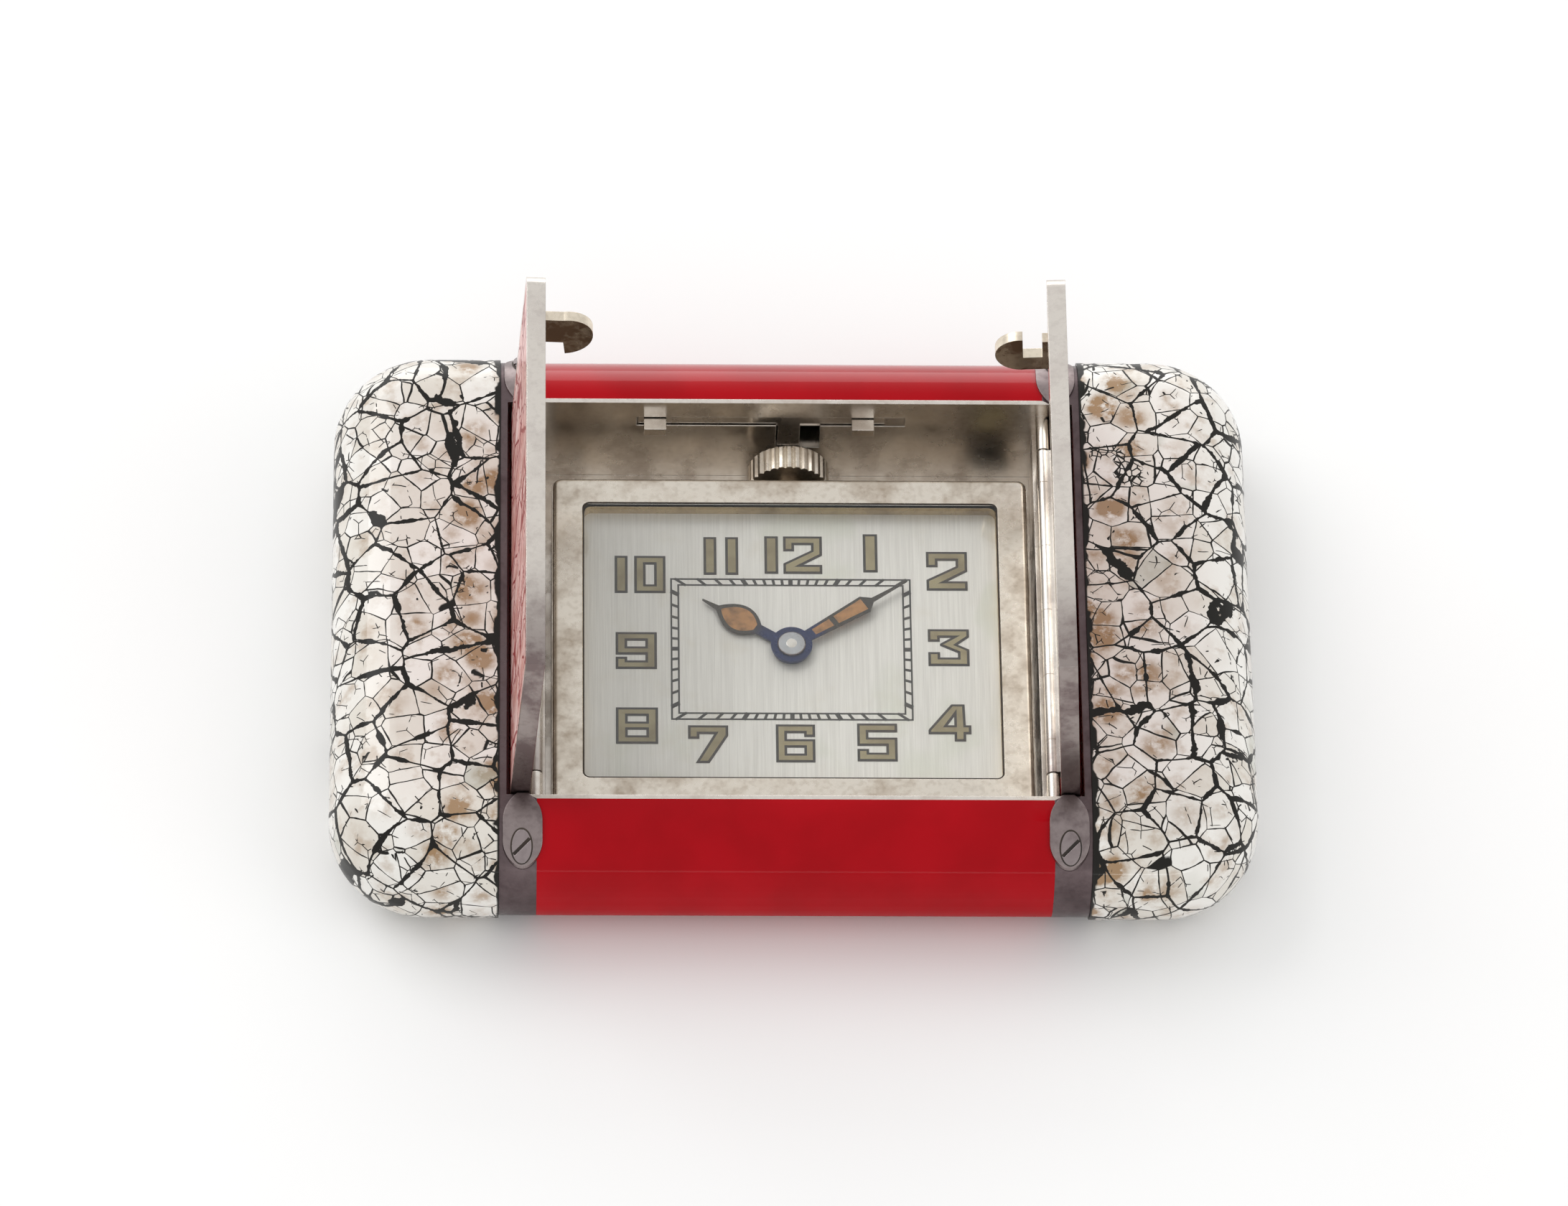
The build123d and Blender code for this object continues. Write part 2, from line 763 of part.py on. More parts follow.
with BuildPart(watch_front) as watch_middle:
    slab(watch_length, watch_breadth, watch_corner, -back_start, -bezel_depth)
    slab(
        cavity_length,
        cavity_breadth,
        watch_corner,
        -back_start - overrun,
        overrun,
        mode=Mode.SUBTRACT,
    )
    rod_x(-watch_reach, -watch_rise, -watch_knuckle_half, watch_knuckle_half, watch_knuckle_radius)
    block(
        (-watch_knuckle_half, -watch_reach, -watch_web_low),
        (watch_knuckle_half, watch_wall / 2 - top_face, -watch_web_high),
    )
    rod_x(-watch_reach, -watch_rise, -far, far, pin_radius + pin_clearance, mode=Mode.SUBTRACT)
    rod_y(
        0,
        -stem_level,
        top_face - 2 * watch_wall,
        top_face + overrun,
        stem_radius + stem_clearance,
        mode=Mode.SUBTRACT,
    )
    block(
        (tab_left, top_face - tab_root, -tab_bottom),
        (tab_right, top_face + overrun, -tab_top),
        mode=Mode.SUBTRACT,
    )
    rod_y(
        -side_hole_x,
        -side_hole_level,
        top_face - side_hole_depth,
        top_face + overrun,
        side_hole_radius,
        mode=Mode.SUBTRACT,
    )
watch_middle.part.label = "watch_middle"
export_step(watch_middle.part, "parts/watch_middle.step")

with BuildPart(watch_front) as watch_bezel:
    slab(
        watch_length - 2 * bezel_step,
        watch_breadth - 2 * bezel_step,
        watch_corner,
        -bezel_depth,
        0,
    )
    fillet(watch_bezel.faces().sort_by(watch_normal)[-1].edges(), bezel_round)
    slab(
        cavity_length - 2 * skirt_step,
        cavity_breadth - 2 * skirt_step,
        watch_corner,
        -skirt_depth,
        -bezel_depth,
    )
    slab(
        rehaut_length + 2 * glass_gap,
        rehaut_breadth + 2 * glass_gap,
        aperture_corner,
        -skirt_depth - overrun,
        -bezel_depth,
        mode=Mode.SUBTRACT,
    )
    slab(
        aperture_length,
        aperture_breadth,
        aperture_corner,
        -skirt_depth,
        overrun,
        mode=Mode.SUBTRACT,
    )
watch_bezel.part.label = "watch_bezel"
export_step(watch_bezel.part, "parts/watch_bezel.step")

with BuildPart(watch_front) as watch_back:
    slab(watch_length, watch_breadth, watch_corner, -watch_thickness, -back_start)
    fillet(watch_back.faces().sort_by(watch_normal)[0].edges(), back_round)
watch_back.part.label = "watch_back"
export_step(watch_back.part, "parts/watch_back.step")

with BuildPart(watch_front) as glass:
    slab(
        aperture_length - 2 * glass_gap,
        aperture_breadth - 2 * glass_gap,
        aperture_corner,
        -glass_bottom,
        -glass_top,
    )
glass.part.label = "glass"
export_step(glass.part, "parts/glass.step")

with BuildPart(watch_front) as rehaut:
    slab(rehaut_length, rehaut_breadth, aperture_corner, -skirt_depth, -glass_bottom)
    slab(
        rehaut_length - 2 * rehaut_wall,
        rehaut_breadth - 2 * rehaut_wall,
        aperture_corner,
        -skirt_depth - overrun,
        overrun,
        mode=Mode.SUBTRACT,
    )
rehaut.part.label = "rehaut"
export_step(rehaut.part, "parts/rehaut.step")

with BuildPart(watch_front) as dial:
    slab(
        cavity_length - 2 * movement_gap,
        cavity_breadth - 2 * movement_gap,
        watch_corner,
        -dial_back,
        -skirt_depth,
    )
    rod_z(0, 0, -dial_back - overrun, overrun, dial_hole_radius, mode=Mode.SUBTRACT)
dial.part.label = "dial"
export_step(dial.part, "parts/dial.step")

# Lift tab let into the top side of the watch
with BuildPart(watch_front) as lift_tab:
    block((tab_left, top_face - tab_root, -tab_bottom), (tab_right, top_face + tab_reach, -tab_top))
    outer_edges = lift_tab.edges().filter_by(watch_normal)
    left_corner = watch_front.from_local_coords((tab_left, top_face + tab_reach, -tab_top))
    right_corner = watch_front.from_local_coords((tab_right, top_face + tab_reach, -tab_top))
    fillet(outer_edges.sort_by_distance(left_corner)[0], tab_round)
    right_edge = lift_tab.edges().filter_by(watch_normal).sort_by_distance(right_corner)[0]
    fillet(right_edge, tab_small_round)
lift_tab.part.label = "lift_tab"
export_step(lift_tab.part, "parts/lift_tab.step")

# Movement: main plate with the stem channel and the hour wheel's recess
with BuildPart(watch_front) as main_plate:
    slab(
        cavity_length - 2 * movement_gap,
        cavity_breadth - 2 * movement_gap,
        watch_corner,
        -plate_back,
        -dial_back,
    )
    rod_z(0, 0, -hour_recess_depth, overrun, hour_recess_radius, mode=Mode.SUBTRACT)
    rod_z(0, 0, -plate_back - overrun, overrun, cannon_radius + cannon_clearance, mode=Mode.SUBTRACT)
    block(
        (-channel_half, channel_start, -plate_back - overrun),
        (channel_half, top_face, -channel_level),
        mode=Mode.SUBTRACT,
    )
    block(
        (-collar_radius - collar_room, collar_low - collar_room, -plate_back - overrun),
        (collar_radius + collar_room, collar_high + crown_travel + collar_room, overrun),
        mode=Mode.SUBTRACT,
    )
main_plate.part.label = "main_plate"
export_step(main_plate.part, "parts/main_plate.step")


def bridge(low, high, feet):
    with BuildPart(watch_front) as body:
        block((low[0], low[1], -bridge_bottom), (high[0], high[1], -bridge_top))
        for foot in feet:
            rod_z(foot[0], foot[1], -bridge_top - movement_gap, -plate_back, foot_radius)
    return body.part


bridge_shapes = {
    "train_bridge": bridge((-bridge_x, -bridge_y), (bridge_x, bridge_split), in_cavity(train_foot_shares)),
    "barrel_bridge": bridge(
        (-bridge_x, bridge_split + bridge_gap),
        (cock_left - bridge_gap, bridge_y),
        in_cavity(barrel_foot_shares),
    ),
    "balance_cock": bridge(
        (cock_left, bridge_split + bridge_gap),
        (bridge_x, bridge_y),
        in_cavity(cock_foot_shares),
    ),
}
for bridge_name, bridge_shape in bridge_shapes.items():
    bridge_shape.label = bridge_name
    export_step(bridge_shape, "parts/" + bridge_name + ".step")

# Wheels, each on its arbor between plate and bridge
for wheel_name, shares in wheel_shares.items():
    wheel_x = half_cavity_length * shares[0]
    wheel_y = half_cavity_breadth * shares[1]
    wheel_radius = wheel_unit * shares[2]
    with BuildPart(watch_front) as wheel:
        rod_z(wheel_x, wheel_y, -wheel_bottom, -wheel_top, wheel_radius)
        if wheel_name == "balance_wheel":
            rod_z(
                wheel_x,
                wheel_y,
                -wheel_bottom - overrun,
                overrun,
                wheel_radius - balance_rim,
                mode=Mode.SUBTRACT,
            )
            block(
                (wheel_x - wheel_radius + balance_rim / 2, wheel_y - balance_spoke, -wheel_bottom),
                (wheel_x + wheel_radius - balance_rim / 2, wheel_y + balance_spoke, -wheel_top),
            )
        rod_z(wheel_x, wheel_y, -bridge_top, -plate_back, arbor_radius)
    wheel.part.label = wheel_name
    export_step(wheel.part, "parts/" + wheel_name + ".step")

# Centre wheel and cannon pinion turn with the minute hand
with BuildPart(watch_front) as centre_wheel:
    rod_z(0, 0, -wheel_bottom, -wheel_top, centre_wheel_radius)
    rod_z(0, 0, -centre_arbor_end, -cannon_bottom, arbor_radius)
centre_wheel.part.label = "centre_wheel"
export_step(centre_wheel.part, "parts/centre_wheel.step")

with BuildPart(watch_front) as cannon_pinion:
    rod_z(0, 0, -cannon_bottom, -minute_top, cannon_radius)
    rod_z(0, 0, -minute_top, -cap_top, cap_radius)
cannon_pinion.part.label = "cannon_pinion"
export_step(cannon_pinion.part, "parts/cannon_pinion.step")

with BuildPart(watch_front) as hour_wheel:
    rod_z(0, 0, -hour_wheel_bottom, -hour_wheel_top, hour_wheel_radius)
    rod_z(0, 0, -hour_wheel_bottom, -hour_top, hour_tube_radius)
    rod_z(0, 0, -far, far, cannon_radius + hour_tube_clearance, mode=Mode.SUBTRACT)
hour_wheel.part.label = "hour_wheel"
export_step(hour_wheel.part, "parts/hour_wheel.step")


# Hands: open frames with lume let into them, each pointing along its own plane's Y
def hand_plane(angle, level):
    turn = radians(angle)
    across = watch_front.x_dir * cos(turn) - watch_front.y_dir * sin(turn)
    return Plane(
        origin=watch_front.from_local_coords((0, 0, -level)),
        x_dir=across,
        z_dir=watch_front.z_dir,
    )


def cell_shape(cell, shrink):
    low, low_half, high, high_half = cell
    with BuildLine() as cell_edge:
        Polyline(
            (-low_half + shrink, low + shrink),
            (low_half - shrink, low + shrink),
            (high_half - shrink, high - shrink),
            (-high_half + shrink, high - shrink),
            close=True,
        )
    make_face(cell_edge.edges())


def hour_cell_shape(shrink):
    start_half = hour_cell_start_half - shrink
    end_half = hour_cell_end_half - shrink
    wide = hour_cell_half - shrink
    start = hour_cell_start + shrink
    end = hour_cell_end - shrink
    with BuildLine() as cell_edge:
        Line((-start_half, start), (start_half, start))
        Spline((start_half, start), (wide, hour_bulge), (end_half, end))
        Line((end_half, end), (-end_half, end))
        Spline((-end_half, end), (-wide, hour_bulge), (-start_half, start))
    make_face(cell_edge.edges())


minute_plane = hand_plane(minute_angle, minute_bottom)
with BuildPart(minute_plane) as minute_hand:
    with BuildSketch(minute_plane):
        with BuildLine():
            Polyline(
                (-minute_root_half, minute_root),
                (minute_root_half, minute_root),
                (minute_wide_half, minute_wide),
                (minute_neck_half, minute_neck),
                (minute_tip_half, minute_length),
                (-minute_tip_half, minute_length),
                (-minute_neck_half, minute_neck),
                (-minute_wide_half, minute_wide),
                close=True,
            )
        make_face()
        Circle(minute_hub)
        Circle(cannon_radius, mode=Mode.SUBTRACT)
    extrude(amount=minute_bottom - minute_top)
    for cell in minute_cells:
        with BuildSketch(minute_plane):
            cell_shape(cell, 0)
        extrude(amount=minute_bottom - minute_top, mode=Mode.SUBTRACT)
minute_hand.part.label = "minute_hand"
export_step(minute_hand.part, "parts/minute_hand.step")

with BuildPart(minute_plane) as minute_lume:
    for cell in minute_cells:
        with BuildSketch(minute_plane):
            cell_shape(cell, 0)
        extrude(amount=minute_bottom - minute_top)
minute_lume.part.label = "minute_lume"
export_step(minute_lume.part, "parts/minute_lume.step")

hour_plane = hand_plane(hour_angle, hour_bottom)
with BuildPart(hour_plane) as hour_hand:
    with BuildSketch(hour_plane):
        with BuildLine():
            Line((-hour_root_half, hour_root), (hour_root_half, hour_root))
            Line((hour_root_half, hour_root), (hour_root_half, hour_bulge_start))
            Spline(
                (hour_root_half, hour_bulge_start),
                (hour_bulge_half, hour_bulge),
                (hour_taper_half, hour_taper),
            )
            Polyline(
                (hour_taper_half, hour_taper),
                (hour_tip_half, hour_length),
                (-hour_tip_half, hour_length),
                (-hour_taper_half, hour_taper),
            )
            Spline(
                (-hour_taper_half, hour_taper),
                (-hour_bulge_half, hour_bulge),
                (-hour_root_half, hour_bulge_start),
            )
            Line((-hour_root_half, hour_bulge_start), (-hour_root_half, hour_root))
        make_face()
        Circle(hour_hub)
        Circle(hour_tube_radius, mode=Mode.SUBTRACT)
    extrude(amount=hour_bottom - hour_top)
    with BuildSketch(hour_plane):
        hour_cell_shape(0)
    extrude(amount=hour_bottom - hour_top, mode=Mode.SUBTRACT)
hour_hand.part.label = "hour_hand"
export_step(hour_hand.part, "parts/hour_hand.step")

with BuildPart(hour_plane) as hour_lume:
    with BuildSketch(hour_plane):
        hour_cell_shape(0)
    extrude(amount=hour_bottom - hour_top)
hour_lume.part.label = "hour_lume"
export_step(hour_lume.part, "parts/hour_lume.step")

# Crown, stem and the collar that moves with them when the crown is pulled
with BuildPart(watch_front) as crown:
    rod_y(0, -stem_level, top_face + crown_gap, crown_neck_end, crown_neck_radius)
    rod_y(0, -stem_level, crown_neck_end, crown_end, crown_radius)
    chamfer(crown.faces().sort_by(watch_upward)[-1].edges(), crown_bevel)
    with Locations(Location((0, crown_end / 2, -stem_level), along_y)):
        with PolarLocations(crown_radius, crown_flute_count):
            Box(crown_flute_width, crown_flute_width, 2 * crown_end, rotation=flute_turn, mode=Mode.SUBTRACT)
    rod_y(0, -stem_level, top_face, crown_neck_end, stem_radius, mode=Mode.SUBTRACT)
crown.part.label = "crown"
export_step(crown.part, "parts/crown.step")

with BuildPart(watch_front) as winding_stem:
    rod_y(0, -stem_level, stem_inner_end, crown_neck_end, stem_radius)
winding_stem.part.label = "winding_stem"
export_step(winding_stem.part, "parts/winding_stem.step")

with BuildPart(watch_front) as stem_collar:
    rod_y(0, -stem_level, collar_low, collar_high, collar_radius)
    rod_y(0, -stem_level, -far, far, stem_radius + collar_clearance, mode=Mode.SUBTRACT)
stem_collar.part.label = "stem_collar"
export_step(stem_collar.part, "parts/stem_collar.step")
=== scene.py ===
import bpy
import bmesh
import math
from mathutils import Matrix, Vector


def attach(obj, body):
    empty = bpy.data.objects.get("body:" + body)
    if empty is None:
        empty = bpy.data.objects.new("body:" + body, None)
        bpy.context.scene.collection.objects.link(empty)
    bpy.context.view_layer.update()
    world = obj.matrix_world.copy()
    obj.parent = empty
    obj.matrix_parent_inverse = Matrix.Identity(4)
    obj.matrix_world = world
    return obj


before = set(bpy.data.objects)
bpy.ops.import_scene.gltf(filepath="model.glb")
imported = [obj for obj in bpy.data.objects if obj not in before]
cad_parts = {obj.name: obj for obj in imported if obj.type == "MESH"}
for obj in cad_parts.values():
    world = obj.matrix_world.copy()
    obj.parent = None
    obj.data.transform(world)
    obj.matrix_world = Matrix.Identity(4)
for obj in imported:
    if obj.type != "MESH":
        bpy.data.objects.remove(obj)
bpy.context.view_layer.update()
print("frame loaded,", len(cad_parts), "nodes")
mm = 0.001


# Sockets that take part in Python expressions
class Wire:
    def __init__(self, finish, socket):
        self.finish = finish
        self.socket = socket

    def _math(self, operation, *others, clamp=False):
        settings = {"operation": operation, "use_clamp": clamp}
        return self.finish.node("ShaderNodeMath", settings, [self, *others]).out()

    def __add__(self, other):
        return self._math("ADD", other)

    def __sub__(self, other):
        return self._math("SUBTRACT", other)

    def __rsub__(self, other):
        return self.finish.number(other)._math("SUBTRACT", self)

    def __mul__(self, other):
        return self._math("MULTIPLY", other)

    def __gt__(self, other):
        return self._math("GREATER_THAN", other)

    def power(self, other):
        return self._math("POWER", other)

    def most(self, other):
        return self._math("MAXIMUM", other)

    def size(self):
        return self._math("ABSOLUTE")

    def held(self):
        return self._math("ADD", 0.0, clamp=True)

    # smooth change from one value to another between two limits
    def step(self, low, high, start=0.0, end=1.0):
        made = self.finish.node(
            "ShaderNodeMapRange",
            {"interpolation_type": "SMOOTHSTEP", "clamp": True},
            [self, low, high, start, end],
        )
        return made.out()


class Made:
    def __init__(self, finish, node):
        self.finish = finish
        self.node = node

    def out(self, name=0):
        return Wire(self.finish, self.node.outputs[name])


# A material with one Principled shader, its constants set on the sockets
class Finish:
    def __init__(self, name, **constants):
        self.material = bpy.data.materials.new(name)
        self.material.use_nodes = True
        self.tree = self.material.node_tree
        self.shader = self.tree.nodes["Principled BSDF"]
        self.output = self.tree.nodes["Material Output"]
        for socketName, value in constants.items():
            spaced = socketName.replace("_", " ")
            self.shader.inputs[spaced].default_value = value

    def node(self, kind, settings=None, inputs=None):
        made = self.tree.nodes.new(kind)
        for setting, value in (settings or {}).items():
            setattr(made, setting, value)
        pairs = inputs.items() if isinstance(inputs, dict) else enumerate(inputs or [])
        for where, value in pairs:
            socket = made.inputs[where]
            if isinstance(value, Wire):
                self.tree.links.new(value.socket, socket)
            else:
                socket.default_value = value
        return Made(self, made)

    def number(self, value):
        made = self.node("ShaderNodeValue")
        made.node.outputs[0].default_value = value
        return made.out()

    def vector(self, operation, inputs):
        return self.node("ShaderNodeVectorMath", {"operation": operation}, inputs).out()

    # object coordinates in millimetres, stretched by the factors given
    def position(self, stretch=(1.0, 1.0, 1.0)):
        coordinates = self.node("ShaderNodeTexCoord").out("Object")
        scaled = [1000 * factor for factor in stretch]
        return self.vector("MULTIPLY", [coordinates, scaled])

    def moved(self, vector, noise, amount):
        centred = self.vector("SUBTRACT", [noise, (0.5, 0.5, 0.5)])
        scaled = self.vector("SCALE", {0: centred, "Scale": amount})
        return self.vector("ADD", [vector, scaled])

    def noise(self, scale, detail=2.0, rough=0.5, at=None, colour=False):
        settings = {"noise_dimensions": "3D"}
        place = at or self.position()
        inputs = {"Vector": place, "Scale": scale, "Detail": detail, "Roughness": rough}
        return self.node("ShaderNodeTexNoise", settings, inputs).out(1 if colour else 0)

    def cells(self, scale, feature, at, output="Distance"):
        settings = {"voronoi_dimensions": "3D", "feature": feature}
        inputs = {"Vector": at, "Scale": scale, "Randomness": 1.0}
        return self.node("ShaderNodeTexVoronoi", settings, inputs).out(output)

    def split(self, colour, channel=0):
        return self.node("ShaderNodeSeparateColor", {"mode": "RGB"}, [colour]).out(channel)

    # one axis of a vector
    def axis(self, vector, name):
        return self.node("ShaderNodeSeparateXYZ", None, [vector]).out(name)

    def blend(self, factor, low, high):
        settings = {"data_type": "RGBA", "blend_type": "MIX", "clamp_factor": True}
        made = self.node("ShaderNodeMix", settings)
        sockets = {item.identifier: item for item in made.node.inputs}
        for socketName, value in (("Factor_Float", factor), ("A_Color", low), ("B_Color", high)):
            socket = sockets[socketName]
            if isinstance(value, Wire):
                self.tree.links.new(value.socket, socket)
            elif isinstance(value, (int, float)):
                socket.default_value = value
            else:
                socket.default_value = (*value, 1.0)
        result = next(item for item in made.node.outputs if item.identifier == "Result_Color")
        return Wire(self, result)

    def feed(self, socketName, value):
        self.tree.links.new(value.socket, self.shader.inputs[socketName])

    # bumps, over edges that are rounded off by the radius given
    def bump(self, height, strength, distance=0.00005, rounding=0.0):
        inputs = {"Strength": strength, "Distance": distance, "Height": height}
        if rounding > 0:
            inputs["Normal"] = self.node("ShaderNodeBevel", {"samples": 4}, {"Radius": rounding}).out()
        self.feed("Normal", self.node("ShaderNodeBump", None, inputs).out())


# Crushed eggshell: straight-sided flakes with cracks between, under clear lacquer
creamShell = dict(
    gap=(0.009, 0.008, 0.006),
    flake=(0.72, 0.68, 0.61),
    pale=(0.84, 0.82, 0.775),
    tan=(0.33, 0.20, 0.095),
    green=(0.40, 0.41, 0.33),
    stained=1.0,
    finer=1.0,
    seam=15.7,
    coat=1.0,
    stretch=(1.0, 1.0, 1.0),
)
pinkShell = dict(
    gap=(0.26, 0.003, 0.008),
    flake=(0.85, 0.48, 0.44),
    pale=(0.90, 0.64, 0.60),
    tan=(0.50, 0.14, 0.10),
    green=(0.60, 0.30, 0.27),
    stained=0.5,
    finer=1.25,
    seam=0.0,
    coat=0.2,
    stretch=(1.0, 1.0, 0.4),
)


# In each finish below a step is (from, to, value at from, value at to),
# and a noise is (scale, detail, roughness)
def makeEggshell(name, shell):
    look = dict(roughness=0.34, specular=0.15, coatRoughness=0.04, coatIor=1.5, coatLoss=0.85)
    place = dict(drift=(0.5, 2.0, 0.5), driftReach=0.3, otherReach=9.0)
    noises = dict(
        main=(0.9, 3.0, 0.6),
        other=(0.55, 1.0, 0.5),
        crumbs=(0.3, 2.0, 0.5),
        seam=(0.8, 2.0, 0.5),
        ragged=(1.3, 4.0, 0.65),
        cloud=(0.62, 4.0, 0.6),
        clear=(0.18, 1.0, 0.5),
    )
    cracks = dict(
        scales=(0.33, 0.56, 0.92, 2.4),
        towardsEnd=(19.0, 24.0, 0.0, 0.06),
        main=(0.43, 0.7, 0.04, 0.17),
        second=(0.3, 0.7, 0.012, 0.04),
        third=(0.48, 0.58, -0.03, 0.016),
        crumbs=(0.64, 0.72, -0.05, 0.03),
        fade=0.016,
        seamStep=(0.4, 0.65),
        seamReach=0.26,
        seamNear=0.04,
        seamFar=0.14,
    )
    stains = dict(
        pale=(0.1, 0.8),
        nearBelt=(16.0, 22.0, 1.0, 0.15),
        chosen=(0.15, 0.5),
        ragged=(0.3, 0.6),
        middle=(0.3, 1.2),
        strength=1.7,
        cloudRise=0.05,
        cloud=(0.52, 0.72),
        cloudStrength=0.5,
        clearLimit=0.9,
        clear=(0.5, 0.6),
        clearStrength=0.6,
        fine=(0.0, 1.0, 0.0, 0.08),
    )
    relief = dict(crack=0.8, tilt=0.15, strength=0.25, distance=0.00006)

    finish = Finish(
        name,
        Roughness=look["roughness"],
        Coat_Weight=shell["coat"],
        Coat_Roughness=look["coatRoughness"],
        Coat_IOR=look["coatIor"],
    )
    finish.shader.inputs["Specular IOR Level"].default_value = look["specular"]
    spot = finish.position(shell["stretch"])
    drift = finish.noise(*place["drift"], spot, colour=True)
    bent = finish.moved(spot, drift, place["driftReach"])
    outward = finish.axis(spot, "X").size()

    # cracks of four sizes, and the broken edge along the belt
    scales = [shell["finer"] * scale for scale in cracks["scales"]]
    widthNoise = finish.noise(*noises["main"], spot)
    otherNoise = finish.noise(*noises["other"], finish.moved(spot, drift, place["otherReach"]))
    crumbNoise = finish.noise(*noises["crumbs"], spot)
    widths = [
        (widthNoise + outward.step(*cracks["towardsEnd"])).step(*cracks["main"]),
        widthNoise.step(*cracks["second"]),
        otherNoise.step(*cracks["third"]),
        crumbNoise.step(*cracks["crumbs"]),
    ]
    broken = finish.noise(*noises["seam"], spot).step(*cracks["seamStep"]) * cracks["seamReach"]
    seamFrom = shell["seam"] + cracks["seamNear"]
    seamTo = shell["seam"] + cracks["seamFar"]
    crack = 1 - (outward - broken).step(seamFrom, seamTo)
    for scale, width in zip(scales, widths):
        gap = finish.cells(scale, "DISTANCE_TO_EDGE", bent) * (1 / scale)
        crack = crack.most(1 - (gap - width).step(0.0, cracks["fade"]))

    # flakes in two tints, with brown stains about their middles and a few clear greenish ones
    flakeColour = finish.cells(scales[1], "F1", bent, "Color")
    flakeTint = finish.split(flakeColour)
    fineTint = finish.split(finish.cells(scales[2], "F1", bent, "Color"), 1)
    fromMiddle = finish.cells(scales[1], "F1", bent) * (1 / scales[1])
    nearBelt = outward.step(*stains["nearBelt"])
    chosen = finish.split(flakeColour, 2).step(*stains["chosen"])
    ragged = finish.noise(*noises["ragged"], spot).step(*stains["ragged"])
    stain = (1 - fromMiddle.step(*stains["middle"])) * chosen * ragged * nearBelt * stains["strength"]
    cloudNoise = finish.noise(*noises["cloud"], spot) + nearBelt * stains["cloudRise"]
    cloud = cloudNoise.step(*stains["cloud"]) * stains["cloudStrength"]
    soil = ((stain + cloud) * shell["stained"]).held()
    clearNoise = finish.noise(*noises["clear"], spot).step(*stains["clear"])
    clear = (flakeTint > stains["clearLimit"]) * clearNoise * stains["clearStrength"]
    body = finish.blend(flakeTint.step(*stains["pale"]), shell["flake"], shell["pale"])
    body = finish.blend(soil, body, shell["tan"])
    body = finish.blend(clear, body, shell["green"])
    body = finish.blend(fineTint.step(*stains["fine"]), body, shell["flake"])
    finish.feed("Base Color", finish.blend(crack, body, shell["gap"]))
    finish.feed("Coat Weight", (1 - crack * look["coatLoss"]) * shell["coat"])
    height = 1 - crack * relief["crack"] + flakeTint * relief["tilt"]
    finish.bump(height, relief["strength"], relief["distance"])
    return finish.material


# Silver with tarnish in its low, slow-wiped places.
# Where asked, faces turned towards six get painted shade in the stain colour, and the foot of a door is
# darker towards six.
def makeSilver(name, base, stain, amount, low, high, sides=0.0, foot=0.0):
    look = dict(base=base, stain=stain, amount=amount, low=low, high=high, sides=sides, foot=foot)
    soiling = dict(
        cloudNoise=(0.35, 5.0, 0.62),
        cloud=(0.42, 0.68),
        cloudShare=0.75,
        grainNoise=(3.0, 2.0, 0.5),
        grain=(0.45, 0.7),
        grainShare=0.25,
        shadeFacing=(0.5, 0.9),
        along=(4.5, 12.5),
        dull=(0.3, 0.7),
    )
    relief = dict(
        noise=(1.2, 2.0, 0.5),
        stretch=(0.3, 6.0, 6.0),
        strength=0.05,
        distance=0.00002,
        rounding=0.00006,
    )
    finish = Finish(name, Metallic=1.0, Roughness=look["low"])
    spot = finish.position()
    cloud = finish.noise(*soiling["cloudNoise"], spot)
    grain = finish.noise(*soiling["grainNoise"], spot)
    cloudSoil = cloud.step(*soiling["cloud"]) * soiling["cloudShare"]
    grainSoil = grain.step(*soiling["grain"]) * soiling["grainShare"]
    soil = (cloudSoil + grainSoil) * look["amount"]
    # painted shade: faces turned towards six are darkened towards the stain colour
    if look["sides"] > 0:
        shadeFacing = finish.axis(finish.node("ShaderNodeTexCoord").out("Normal"), "Y")
        soil = soil + (0 - shadeFacing).step(*soiling["shadeFacing"], 0.0, look["sides"])
    # darker towards the six end of a door
    if look["foot"] > 0:
        along = finish.axis(spot, "Y")
        soil = soil + (0 - along).step(*soiling["along"], 0.0, look["foot"])
    finish.feed("Base Color", finish.blend(soil.held(), look["base"], look["stain"]))
    finish.feed("Roughness", cloud.step(*soiling["dull"], look["low"], look["high"]))
    scratch = finish.noise(*relief["noise"], finish.position(relief["stretch"]))
    finish.bump(scratch, relief["strength"], relief["distance"], relief["rounding"])
    return finish.material


# Red lacquer, laid on slightly crowned, its gloss kept only along the twelve side
def makeRed(name):
    look = dict(
        deep=(0.35, 0.0004, 0.0045),
        bright=(0.41, 0.0008, 0.0062),
        roughness=0.4,
        specular=0.02,
        coatRoughness=0.08,
        coatIor=1.5,
        cloudNoise=(0.25, 3.0, 0.5),
        cloud=(0.3, 0.7),
        gloss=(13.0, 15.2, 0.2, 1.0),
    )
    relief = dict(noise=(0.35, 1.0, 0.5), wave=0.0025, crownFrom=12.6, crown=0.038, distance=0.001)
    finish = Finish(
        name,
        Roughness=look["roughness"],
        Coat_Roughness=look["coatRoughness"],
        Coat_IOR=look["coatIor"],
    )
    finish.shader.inputs["Specular IOR Level"].default_value = look["specular"]
    cloud = finish.noise(*look["cloudNoise"]).step(*look["cloud"])
    finish.feed("Base Color", finish.blend(cloud, look["deep"], look["bright"]))
    across = finish.axis(finish.position(), "Y")
    finish.feed("Coat Weight", across.step(*look["gloss"]))
    rise = (across.size() - relief["crownFrom"]).most(0.0)
    wave = finish.noise(*relief["noise"]) * relief["wave"]
    finish.bump(wave - rise * rise * relief["crown"], 1.0, relief["distance"])
    return finish.material


